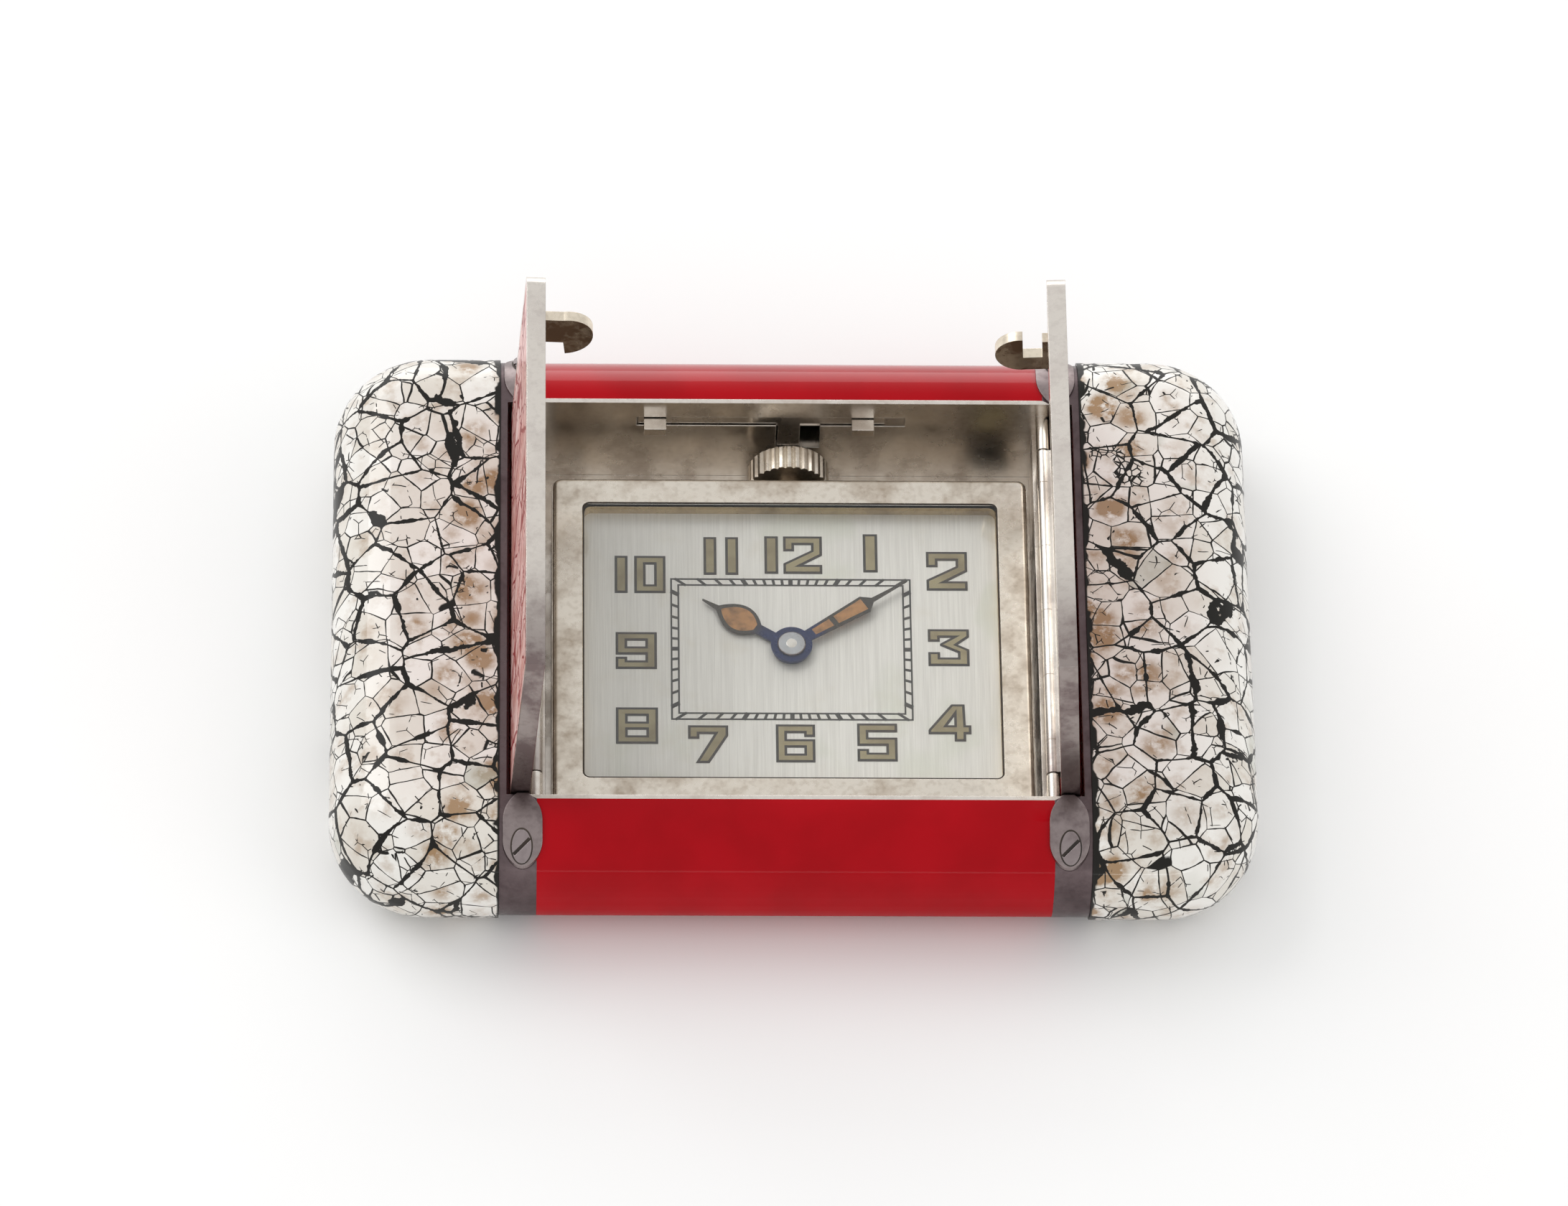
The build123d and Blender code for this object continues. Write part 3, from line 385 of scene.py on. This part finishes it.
# Vertical brushing, with a few stains from age
def makeDial(name):
    look = dict(
        metallic=0.25,
        roughness=0.42,
        base=(0.92, 0.88, 0.82),
        dark=(0.75, 0.71, 0.655),
        stain=(0.66, 0.57, 0.42),
        green=(0.70, 0.71, 0.58),
    )
    brushing = dict(
        broad=(1.0, 3.0, 0.7),
        broadStretch=(7.0, 0.12, 7.0),
        broadShare=0.55,
        fine=(1.0, 2.0, 0.6),
        fineStretch=(22.0, 0.3, 22.0),
        fineShare=0.45,
        contrast=(0.3, 0.7),
        dull=(0.2, 0.8, 0.36, 0.5),
        strength=0.08,
        distance=0.00002,
    )
    stains = dict(
        cloudNoise=(0.3, 5.0, 0.62),
        cloud=(0.5, 0.8, 0.0, 0.35),
        drift=(0.4, 1.0, 0.5),
        driftReach=1.5,
        patchNoise=(0.16, 2.0, 0.5),
        patch=(0.58, 0.68, 0.0, 0.4),
    )
    finish = Finish(name, Metallic=look["metallic"], Roughness=look["roughness"])
    spot = finish.position()
    brush = finish.noise(*brushing["broad"], finish.position(brushing["broadStretch"]))
    fineBrush = finish.noise(*brushing["fine"], finish.position(brushing["fineStretch"]))
    cloud = finish.noise(*stains["cloudNoise"], spot)
    drift = finish.noise(*stains["drift"], spot, colour=True)
    patch = finish.noise(*stains["patchNoise"], finish.moved(spot, drift, stains["driftReach"]))
    broadPart = brush.step(*brushing["contrast"]) * brushing["broadShare"]
    finePart = fineBrush.step(*brushing["contrast"]) * brushing["fineShare"]
    colour = finish.blend((broadPart + finePart).held(), look["dark"], look["base"])
    colour = finish.blend(cloud.step(*stains["cloud"]), colour, look["stain"])
    colour = finish.blend(patch.step(*stains["patch"]), colour, look["green"])
    finish.feed("Base Color", colour)
    finish.feed("Roughness", brush.step(*brushing["dull"]))
    finish.bump(brush + fineBrush, brushing["strength"], brushing["distance"])
    return finish.material


# One colour with a darker cloud in it
def makePlain(name, base, shade, low, high, metallic=0.0, coat=0.0, scale=0.6):
    look = dict(base=base, shade=shade, low=low, high=high, metallic=metallic, coat=coat)
    soiling = dict(detail=4.0, rough=0.6, shade=(0.35, 0.7), dull=(0.3, 0.7))
    relief = dict(strength=0.06, distance=0.00002)
    finish = Finish(name, Metallic=look["metallic"], Coat_Weight=look["coat"], Roughness=look["low"])
    cloud = finish.noise(scale, soiling["detail"], soiling["rough"])
    shading = cloud.step(*soiling["shade"])
    finish.feed("Base Color", finish.blend(shading, look["base"], look["shade"]))
    finish.feed("Roughness", cloud.step(*soiling["dull"], look["low"], look["high"]))
    finish.bump(cloud, relief["strength"], relief["distance"])
    return finish.material


# Steel hands: blued round the hub, faded to brown along the arms
def makeHand(name):
    look = dict(
        metallic=0.9,
        coat=0.3,
        hub=(0.012, 0.022, 0.085),
        arm=(0.060, 0.050, 0.040),
        centre=1.0,
        fade=(1.5, 2.6),
        cloudNoise=(1.2, 4.0, 0.6),
        dull=(0.3, 0.7, 0.16, 0.32),
        strength=0.06,
        distance=0.00002,
    )
    finish = Finish(name, Metallic=look["metallic"], Coat_Weight=look["coat"])
    spot = finish.position()
    sideways = finish.axis(spot, "X")
    along = finish.axis(spot, "Y") + look["centre"]
    reach = (sideways * sideways + along * along).power(0.5)
    cloud = finish.noise(*look["cloudNoise"])
    finish.feed("Base Color", finish.blend(reach.step(*look["fade"]), look["hub"], look["arm"]))
    finish.feed("Roughness", cloud.step(*look["dull"]))
    finish.bump(cloud, look["strength"], look["distance"])
    return finish.material


# Clear glass that casts no dark shadow, with faint smears
def makeGlass(name):
    look = dict(
        base=(0.97, 0.985, 0.98, 1.0),
        ior=1.5,
        smearNoise=(0.3, 3.0, 0.5),
        smear=(0.45, 0.75, 0.0, 0.02),
    )
    finish = Finish(
        name,
        Base_Color=look["base"],
        Roughness=0.0,
        IOR=look["ior"],
        Transmission_Weight=1.0,
    )
    smear = finish.noise(*look["smearNoise"])
    finish.feed("Roughness", smear.step(*look["smear"]))
    clear = finish.node("ShaderNodeBsdfTransparent").out()
    shadowRay = finish.node("ShaderNodeLightPath").out("Is Shadow Ray")
    solid = Wire(finish, finish.shader.outputs[0])
    mixed = finish.node("ShaderNodeMixShader", None, [shadowRay, solid, clear]).out()
    finish.tree.links.new(mixed.socket, finish.output.inputs["Surface"])
    return finish.material


# Silver-like metals: base, stain, amount of stain, lowest and highest roughness
metals = {
    "silver": dict(
        base=(0.78, 0.73, 0.67), stain=(0.34, 0.26, 0.20),
        amount=0.5, low=0.16, high=0.34,
    ),
    "doorSilver": dict(
        base=(0.78, 0.73, 0.67), stain=(0.20, 0.155, 0.15),
        amount=0.35, low=0.16, high=0.34, foot=0.75,
    ),
    "padSilver": dict(
        base=(0.30, 0.25, 0.245), stain=(0.105, 0.075, 0.078),
        amount=0.8, low=0.24, high=0.42,
    ),
    "darkSilver": dict(
        base=(0.135, 0.102, 0.105), stain=(0.060, 0.042, 0.045),
        amount=0.7, low=0.24, high=0.42,
    ),
    "wornSilver": dict(
        base=(0.78, 0.72, 0.63), stain=(0.28, 0.20, 0.13),
        amount=0.7, low=0.2, high=0.4,
    ),
    "screwSilver": dict(
        base=(0.33, 0.28, 0.28), stain=(0.12, 0.09, 0.09),
        amount=0.6, low=0.2, high=0.36,
    ),
    # the hook's stain colour also serves as painted shade on its faces turned towards six
    "hookGilt": dict(
        base=(0.86, 0.77, 0.63), stain=(0.13, 0.075, 0.045),
        amount=0.45, low=0.18, high=0.36, sides=0.8,
    ),
    "gilt": dict(base=(0.62, 0.48, 0.28), stain=(0.20, 0.12, 0.06), amount=0.6, low=0.2, high=0.4),
    "olive": dict(
        base=(0.34, 0.30, 0.20), stain=(0.10, 0.09, 0.06),
        amount=0.7, low=0.25, high=0.45,
    ),
}

# Plain finishes: base, shade, lowest and highest roughness
plains = {
    "khaki": dict(
        base=(0.36, 0.295, 0.16), shade=(0.26, 0.205, 0.105),
        low=0.38, high=0.55, metallic=0.25, coat=0.2,
    ),
    "outline": dict(
        base=(0.022, 0.015, 0.010), shade=(0.055, 0.037, 0.025),
        low=0.4, high=0.55, metallic=0.1,
    ),
    "trackInk": dict(base=(0.022, 0.018, 0.014), shade=(0.06, 0.05, 0.04), low=0.5, high=0.6),
    "lume": dict(
        base=(0.51, 0.24, 0.078), shade=(0.22, 0.105, 0.036),
        low=0.6, high=0.75, scale=1.4,
    ),
    "brass": dict(
        base=(0.60, 0.44, 0.20), shade=(0.42, 0.30, 0.13),
        low=0.24, high=0.4, metallic=1.0,
    ),
    "steel": dict(
        base=(0.52, 0.52, 0.53), shade=(0.34, 0.33, 0.33),
        low=0.18, high=0.34, metallic=1.0,
    ),
}

finishes = {
    "eggshell": makeEggshell("eggshell", creamShell),
    "redEggshell": makeEggshell("redEggshell", pinkShell),
    "red": makeRed("red"),
    "dial": makeDial("dial"),
    "blued": makeHand("blued"),
    "glass": makeGlass("glass"),
}
finishes.update({name: makeSilver(name, **values) for name, values in metals.items()})
finishes.update({name: makePlain(name, **values) for name, values in plains.items()})
print("finishes made,", len(finishes))

finishOf = {
    "case_shell": "silver",
    "eggshell_end_left": "eggshell",
    "eggshell_end_right": "eggshell",
    "red_band_six": "red",
    "red_band_twelve": "red",
    "red_back": "red",
    "pad_six_left": "padSilver",
    "pad_six_right": "padSilver",
    "pad_twelve_left": "padSilver",
    "pad_twelve_right": "padSilver",
    "pad_screws": "screwSilver",
    "door_pin_left": "steel",
    "door_pin_right": "steel",
    "watch_hinge_pin": "steel",
    "door_plate_left": "doorSilver",
    "door_plate_right": "doorSilver",
    "door_inlay_left": "redEggshell",
    "door_inlay_right": "redEggshell",
    "hook_left": "hookGilt",
    "hook_right": "hookGilt",
    "latch_bar": "silver",
    "thumb_slide": "silver",
    "watch_middle": "wornSilver",
    "watch_bezel": "wornSilver",
    "watch_back": "wornSilver",
    "glass": "glass",
    "rehaut": "gilt",
    "dial": "dial",
    "lift_tab": "olive",
    "main_plate": "brass",
    "train_bridge": "brass",
    "barrel_bridge": "brass",
    "balance_cock": "brass",
    "barrel": "steel",
    "third_wheel": "brass",
    "fourth_wheel": "brass",
    "escape_wheel": "steel",
    "balance_wheel": "brass",
    "stem_collar": "steel",
    "crown": "wornSilver",
    "winding_stem": "steel",
    "minute_hand": "blued",
    "minute_lume": "lume",
    "cannon_pinion": "steel",
    "centre_wheel": "brass",
    "hour_hand": "blued",
    "hour_lume": "lume",
    "hour_wheel": "brass",
}


def wear(obj, material):
    slots = obj.material_slots
    if not slots:
        obj.data.materials.append(material)
    for item in slots:
        item.material = material


for nodeName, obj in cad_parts.items():
    wear(obj, finishes[finishOf[nodeName]])
print("CAD nodes finished")


# The case shell is one piece of silver.
# Its belts are darker, and the strips beside the doors are lacquered red.
def paintShell():
    look = dict(inner=0.01362, outer=0.01578, halfInside=0.0127, top=0.0077, bottom=0.0003, endwise=0.5)
    strip = dict(inner=0.01415, outer=0.0154, ledge=0.0049, level=0.00002, upwards=0.9)
    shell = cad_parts["case_shell"]
    shell.data.materials.append(finishes["darkSilver"])
    shell.data.materials.append(finishes["red"])
    for face in shell.data.polygons:
        centre = face.center
        along = abs(centre.x)
        level = look["bottom"] < centre.z < look["top"]
        outside = abs(centre.y) > look["halfInside"] or not level
        if look["inner"] < along < look["outer"] and outside and abs(face.normal.x) < look["endwise"]:
            face.material_index = 1
        onLedge = abs(centre.z - strip["ledge"]) < strip["level"] and face.normal.z > strip["upwards"]
        if onLedge and strip["inner"] < along < strip["outer"]:
            face.material_index = 2


paintShell()


# Flat pieces from outlines, in millimetres about the hands' axis
dialCentre = Vector((0.0, -1.0))


def flatPiece(name, outlines, level, thickness, finishName, grow=0.0):
    curve = bpy.data.curves.new(name, "CURVE")
    curve.dimensions = "2D"
    curve.fill_mode = "BOTH"
    curve.extrude = thickness / 2
    curve.offset = grow
    for outline in outlines:
        spline = curve.splines.new("POLY")
        spline.points.add(len(outline) - 1)
        for point, (x, y) in zip(spline.points, outline):
            point.co = (x + dialCentre.x, y + dialCentre.y, 0.0, 1.0)
        spline.use_cyclic_u = True
    holder = bpy.data.objects.new(name + "Curve", curve)
    bpy.context.collection.objects.link(holder)
    bpy.context.view_layer.update()
    shaped = holder.evaluated_get(bpy.context.evaluated_depsgraph_get())
    mesh = bpy.data.meshes.new_from_object(shaped)
    mesh.name = name
    middle = (level + thickness / 2) * mm
    mesh.transform(Matrix.Translation((0, 0, middle)) @ Matrix.Scale(mm, 4))
    bpy.data.objects.remove(holder)
    obj = bpy.data.objects.new(name, mesh)
    bpy.context.collection.objects.link(obj)
    mesh.materials.clear()
    mesh.materials.append(finishes[finishName])
    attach(obj, "watch")


# A rectangle between two corners
def frameOf(low, high):
    return [(low[0], low[1]), (high[0], low[1]), (high[0], high[1]), (low[0], high[1])]


# Outlines of the figures, from 0 to 1 in both directions
digitShapes = {
    "0": [frameOf((0, 0), (1, 1)), frameOf((0.34, 0.21), (0.66, 0.79))],
    "1": [frameOf((0, 0), (1, 1))],
    "2": [[(0, 1), (1, 1), (1, 0.50), (0.46, 0.22), (1, 0.22), (1, 0), (0, 0), (0, 0.26), (0.74, 0.62),
           (0.74, 0.79), (0.26, 0.79), (0.26, 0.62), (0, 0.62)]],
    "3": [[(0, 1), (1, 1), (1, 0.80), (0.70, 0.58), (1, 0.44), (1, 0), (0, 0), (0, 0.36), (0.27, 0.36),
           (0.27, 0.21), (0.74, 0.21), (0.74, 0.36), (0.30, 0.56), (0.30, 0.60), (0.62, 0.79), (0.27, 0.79),
           (0.27, 0.68), (0, 0.68)]],
    "4": [[(0.55, 1), (0.85, 1), (0.87, 0.42), (1, 0.42), (1, 0.2), (0.87, 0.2), (0.87, 0), (0.62, 0),
           (0.62, 0.2), (0, 0.2), (0, 0.3)], [(0.42, 0.42), (0.62, 0.42), (0.62, 0.72)]],
    "5": [[(0, 1), (1, 1), (1, 0.79), (0.26, 0.79), (0.26, 0.62), (1, 0.62), (1, 0), (0, 0), (0, 0.31),
           (0.27, 0.31), (0.27, 0.21), (0.74, 0.21), (0.74, 0.42), (0, 0.42)]],
    "6": [[(0, 1), (1, 1), (1, 0.69), (0.74, 0.69), (0.74, 0.79), (0.26, 0.79), (0.26, 0.60), (1, 0.60),
           (1, 0), (0, 0)], frameOf((0.26, 0.21), (0.74, 0.40))],
    "7": [[(0, 1), (1, 1), (1, 0.74), (0.52, 0), (0.20, 0), (0.68, 0.79), (0.26, 0.79), (0.26, 0.66),
           (0, 0.66)]],
    "8": [frameOf((0, 0), (1, 1)), frameOf((0.26, 0.21), (0.74, 0.40)),
          frameOf((0.26, 0.60), (0.74, 0.79))],
    "9": [[(0, 1), (1, 1), (1, 0), (0, 0), (0, 0.31), (0.26, 0.31), (0.26, 0.21), (0.74, 0.21), (0.74, 0.40),
           (0, 0.40)], frameOf((0.26, 0.60), (0.74, 0.79))],
}
# Each figure with its left, right, lower and upper edge in millimetres about the hands' axis
digitPlaces = [
    ("1", -1.36, -0.68, 4.92, 7.30), ("2", -0.34, 1.70, 4.92, 7.30), ("1", 3.98, 4.70, 5.04, 7.46),
    ("2", 7.39, 9.55, 3.87, 6.33), ("3", 7.39, 9.55, -1.02, 1.29), ("4", 7.31, 9.55, -5.86, -3.55),
    ("5", 3.48, 5.57, -7.15, -4.80), ("6", -0.87, 1.17, -7.23, -4.88), ("7", -5.57, -3.48, -7.30, -4.96),
    ("8", -9.43, -7.23, -6.09, -3.83), ("9", -9.43, -7.27, -1.29, 1.02), ("1", -9.47, -8.83, 3.63, 5.98),
    ("0", -8.41, -6.78, 3.63, 5.98), ("1", -4.66, -4.02, 4.84, 7.23), ("1", -3.48, -2.84, 4.84, 7.23),
]


def makeNumerals():
    look = dict(level=4.101, thick=0.02, rise=0.012, edge=0.11, spread=0.03)
    outlines = []
    for digit, left, right, low, high in digitPlaces:
        for shape in digitShapes[digit]:
            outlines.append([(left + x * (right - left), low + y * (high - low)) for x, y in shape])
    raised = look["level"] + look["rise"]
    flatPiece("numeralOutlines", outlines, look["level"], look["thick"], "outline", look["spread"])
    flatPiece("numeralFills", outlines, raised, look["thick"], "khaki", -look["edge"])


# Square minute track: two thin frames and sixty radial ticks
def makeTrack():
    look = dict(halfX=6.5, halfY=4.57, band=0.48, line=0.095, level=4.101, thick=0.012)
    tick = dict(width=0.15, fifth=0.24, overlap=0.03, lower=0.0005, least=1e-6)
    pieces = []
    for inset in (0.0, look["band"] - look["line"]):
        outer = (look["halfX"] - inset, look["halfY"] - inset)
        inner = (outer[0] - look["line"], outer[1] - look["line"])
        pieces.append(frameOf((-outer[0], -outer[1]), outer))
        pieces.append(frameOf((-inner[0], -inner[1]), inner))
    flatPiece("minuteTrack", pieces, look["level"], look["thick"], "trackInk")

    # how far from the centre a direction meets the frame inset by some amount
    def reachOf(aim, inset):
        alongX = (look["halfX"] - inset) / max(abs(aim.x), tick["least"])
        alongY = (look["halfY"] - inset) / max(abs(aim.y), tick["least"])
        return min(alongX, alongY)

    ticks = []
    for minute in range(60):
        angle = math.radians(6 * minute)
        aim = Vector((math.sin(angle), math.cos(angle)))
        half = (tick["fifth"] if minute % 5 == 0 else tick["width"]) / 2
        side = Vector((aim.y, -aim.x)) * half
        near = aim * (reachOf(aim, look["band"]) + tick["overlap"])
        far = aim * (reachOf(aim, 0.0) - tick["overlap"])
        ticks.append([tuple(near - side), tuple(near + side), tuple(far + side), tuple(far - side)])
    flatPiece("minuteTicks", ticks, look["level"] - tick["lower"], look["thick"], "trackInk")


makeNumerals()
makeTrack()
print("dial markings made")


# A piece whose faces are added by the function given
def meshPiece(name, bodyName, finishName, build, smooth=True):
    shape = bmesh.new()
    build(shape)
    mesh = bpy.data.meshes.new(name)
    shape.to_mesh(mesh)
    shape.free()
    for face in mesh.polygons:
        face.use_smooth = smooth
    mesh.materials.append(finishes[finishName])
    obj = bpy.data.objects.new(name, mesh)
    bpy.context.collection.objects.link(obj)
    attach(obj, bodyName)


# A body of revolution from (radius, height) pairs, along one axis from a foot, in millimetres
def turned(shape, profile, foot, axis=(0, 0, 1), steps=48, closed=True):
    along = Vector(axis).normalized()
    across = along.orthogonal().normalized()
    other = along.cross(across)
    rings = []
    for radius, height in profile:
        centre = Vector(foot) + along * height
        ring = []
        for step in range(steps):
            angle = 2 * math.pi * step / steps
            spoke = across * math.cos(angle) + other * math.sin(angle)
            ring.append(shape.verts.new((centre + spoke * radius) * mm))
        rings.append(ring)
    for lower, upper in zip(rings, rings[1:] + (rings[:1] if closed else [])):
        for step in range(steps):
            ahead = (step + 1) % steps
            shape.faces.new((lower[step], lower[ahead], upper[ahead], upper[step]))
    bmesh.ops.recalc_face_normals(shape, faces=shape.faces)


# Washer over the hands' axis, with the rounded end of the arbor standing in it
def makeHandCap():
    look = dict(level=4.66, tip=0.001, flat=0.02)
    washerLook = dict(radius=0.76, chamfer=0.04, thick=0.022, side=0.5)
    pinLook = dict(radius=0.37, crown=0.7, shoulder=0.042, side=0.8, top=0.058)
    foot = (dialCentre.x, dialCentre.y, look["level"])

    # a round piece: side up to a first height, over to a second one, and a last one at the middle
    def roundPiece(shape, radius, inner, heights):
        side, shoulder, top = heights
        profile = [
            (look["tip"], 0.0), (radius, 0.0), (radius, side),
            (inner, shoulder), (inner - look["flat"], shoulder), (look["tip"], top),
        ]
        turned(shape, profile, foot, closed=False)

    def washer(shape):
        thick = washerLook["thick"]
        inner = washerLook["radius"] - washerLook["chamfer"]
        roundPiece(shape, washerLook["radius"], inner, (thick * washerLook["side"], thick, thick))

    def pin(shape):
        shoulder = pinLook["shoulder"]
        inner = pinLook["radius"] * pinLook["crown"]
        roundPiece(shape, pinLook["radius"], inner, (shoulder * pinLook["side"], shoulder, pinLook["top"]))

    meshPiece("handCap", "minute", "screwSilver", washer)
    meshPiece("arborEnd", "minute", "silver", pin)


# Dark line where the glass meets the bezel, just inside the aperture
def makeApertureLine():
    look = dict(halfX=11.23, halfY=8.88, corner=0.38, width=0.07, level=5.201, thick=0.012, steps=6)

    def rounded(inset):
        halfX, halfY = look["halfX"] - inset, look["halfY"] - inset
        radius = look["corner"] - inset
        points = []
        for turn, (signX, signY) in enumerate([(1, 1), (-1, 1), (-1, -1), (1, -1)]):
            for step in range(look["steps"] + 1):
                angle = math.pi / 2 * (turn + step / look["steps"])
                x = signX * (halfX - radius) + radius * math.cos(angle)
                y = signY * (halfY - radius) + radius * math.sin(angle)
                points.append((x, y))
        return points

    outlines = [rounded(0.0), rounded(look["width"])]
    flatPiece("apertureLine", outlines, look["level"], look["thick"], "outline")


# Dark seam round each screw head, laid on the rounded edge of its pad, and a dark sheet in its slot
def makeScrewSeams():
    look = dict(x=14.5, lean=math.radians(36.0), edge=3.6, depth=8.0, halfBreadth=17.05)
    seamLook = dict(halfX=0.52, halfY=0.9, inward=-0.02, outward=0.08, lift=0.008, steps=48)
    slotLook = dict(halfLength=0.6, halfWidth=0.088, turn=math.radians(45.0), level=-0.01)

    def makeOne(placeName, end, side):
        # a point on the rounded edge, from its place along the case and round the edge
        def onEdge(across, along, lift):
            lean = look["lean"] + math.asin(along / look["edge"])
            reach = look["edge"] + lift
            y = end * (look["halfBreadth"] - look["edge"] + reach * math.sin(lean))
            z = look["depth"] - look["edge"] + reach * math.cos(lean)
            return Vector((side * look["x"] + across, y, z)) * mm

        def seam(shape):
            rings = []
            for grow in (seamLook["inward"], seamLook["outward"]):
                ring = []
                for step in range(seamLook["steps"]):
                    angle = 2 * math.pi * step / seamLook["steps"]
                    across = (seamLook["halfX"] + grow) * math.cos(angle)
                    along = (seamLook["halfY"] + grow) * math.sin(angle)
                    ring.append(shape.verts.new(onEdge(across, along, seamLook["lift"])))
                rings.append(ring)
            for step in range(seamLook["steps"]):
                ahead = (step + 1) % seamLook["steps"]
                shape.faces.new((rings[0][step], rings[0][ahead], rings[1][ahead], rings[1][step]))

        def slot(shape):
            centre = onEdge(0.0, 0.0, slotLook["level"])
            rightward = Vector((1, 0, 0))
            upward = Vector((0, math.cos(look["lean"]), -end * math.sin(look["lean"])))
            cosTurn, sinTurn = math.cos(slotLook["turn"]), math.sin(slotLook["turn"])
            lengthwise = (rightward * cosTurn + upward * sinTurn) * slotLook["halfLength"]
            sideways = (upward * cosTurn - rightward * sinTurn) * slotLook["halfWidth"]
            corners = []
            for lengthSign, widthSign in ((-1, -1), (1, -1), (1, 1), (-1, 1)):
                reach = lengthwise * lengthSign + sideways * widthSign
                corners.append(shape.verts.new(centre + reach * mm))
            shape.faces.new(corners)

        meshPiece("screwSeam" + placeName, "case", "outline", seam)
        meshPiece("screwSlot" + placeName, "case", "outline", slot, False)

    for endName, end in (("Six", -1), ("Twelve", 1)):
        for sideName, side in (("Left", -1), ("Right", 1)):
            makeOne(endName + sideName, end, side)


# Fine parting rings on the doors' hinge tubes
def makeHingeRings():
    look = dict(count=5, first=-8.32, spacing=4.16, radius=0.368, inner=0.355, width=0.05, steps=32)
    place = dict(x=13.75, z=6.45)
    profile = [
        (look["inner"], -look["width"] / 2), (look["radius"], -look["width"] / 4),
        (look["radius"], look["width"] / 4), (look["inner"], look["width"] / 2),
    ]

    def makeOne(sideName, bodyName, side):
        def build(shape):
            for step in range(look["count"]):
                along = look["first"] + step * look["spacing"]
                foot = (side * place["x"], along, place["z"])
                turned(shape, profile, foot, (0, 1, 0), look["steps"])

        meshPiece("hingeRings" + sideName, bodyName, "wornSilver", build)

    makeOne("Left", "left_door", -1)
    makeOne("Right", "right_door", 1)


makeHandCap()
makeApertureLine()
makeScrewSeams()
makeHingeRings()
print("small pieces made")


# Floor and lights
def makeStage():
    look = dict(reach=1.2, colour=(0.93, 0.93, 0.925), low=0.85, high=0.9, worldStrength=0.8)
    lamps = {
        "keyLight": dict(size=(0.5, 0.4), power=1.5, place=(-0.42, 0.3, 0.5)),
        "fillLight": dict(size=(0.4, 0.4), power=0.45, place=(0.45, -0.2, 0.35)),
        "stripLight": dict(size=(1.2, 0.03), power=0.35, place=(0.0, -0.95, 0.085)),
        "backLight": dict(size=(1.2, 0.56), power=3.0, place=(0.0, 1.0, 0.3)),
    }
    aim = Vector((0, 0, 0.004))

    mesh = bpy.data.meshes.new("floor")
    reach = look["reach"]
    corners = [(-reach, -reach, 0), (reach, -reach, 0), (reach, reach, 0), (-reach, reach, 0)]
    mesh.from_pydata(corners, [], [(0, 1, 2, 3)])
    floor = bpy.data.objects.new("floor", mesh)
    bpy.context.collection.objects.link(floor)
    colour = look["colour"]
    mesh.materials.append(makePlain("floorFinish", colour, colour, look["low"], look["high"]))

    world = bpy.context.scene.world or bpy.data.worlds.new("world")
    bpy.context.scene.world = world
    world.use_nodes = True
    background = world.node_tree.nodes["Background"]
    background.inputs["Color"].default_value = (1.0, 1.0, 1.0, 1.0)
    background.inputs["Strength"].default_value = look["worldStrength"]

    for name, values in lamps.items():
        light = bpy.data.lights.new(name, "AREA")
        light.shape = "RECTANGLE"
        light.size, light.size_y = values["size"]
        light.energy = values["power"]
        obj = bpy.data.objects.new(name, light)
        bpy.context.collection.objects.link(obj)
        obj.location = values["place"]
        obj.rotation_euler = (aim - Vector(values["place"])).to_track_quat("-Z", "Y").to_euler()
    bpy.context.scene.view_settings.view_transform = "Standard"


# Camera at the photograph's angle, found from the outline of the case
def makeCamera():
    look = dict(lens=237.4, sensor=36.0, clipStart=0.01, clipEnd=10.0)
    place = dict(distance=0.554, shiftX=-0.00048, shiftY=-0.00033, height=0.00785)
    angles = dict(Y=-1.94, X=33.86, Z=-0.83)
    turn = Matrix.Identity(3)
    for axis, angle in angles.items():
        turn = turn @ Matrix.Rotation(math.radians(angle), 3, axis)
    camera = bpy.data.cameras.new("camera")
    camera.lens = look["lens"]
    camera.sensor_width = look["sensor"]
    camera.clip_start = look["clipStart"]
    camera.clip_end = look["clipEnd"]
    obj = bpy.data.objects.new("camera", camera)
    bpy.context.collection.objects.link(obj)
    target = Vector((0, 0, place["height"]))
    shift = turn.col[0] * place["shiftX"] + turn.col[1] * place["shiftY"]
    centre = target + turn.col[2] * place["distance"] + shift
    obj.matrix_world = Matrix.Translation(centre) @ turn.to_4x4()
    bpy.context.scene.camera = obj


makeStage()
makeCamera()
print("stage and camera set")
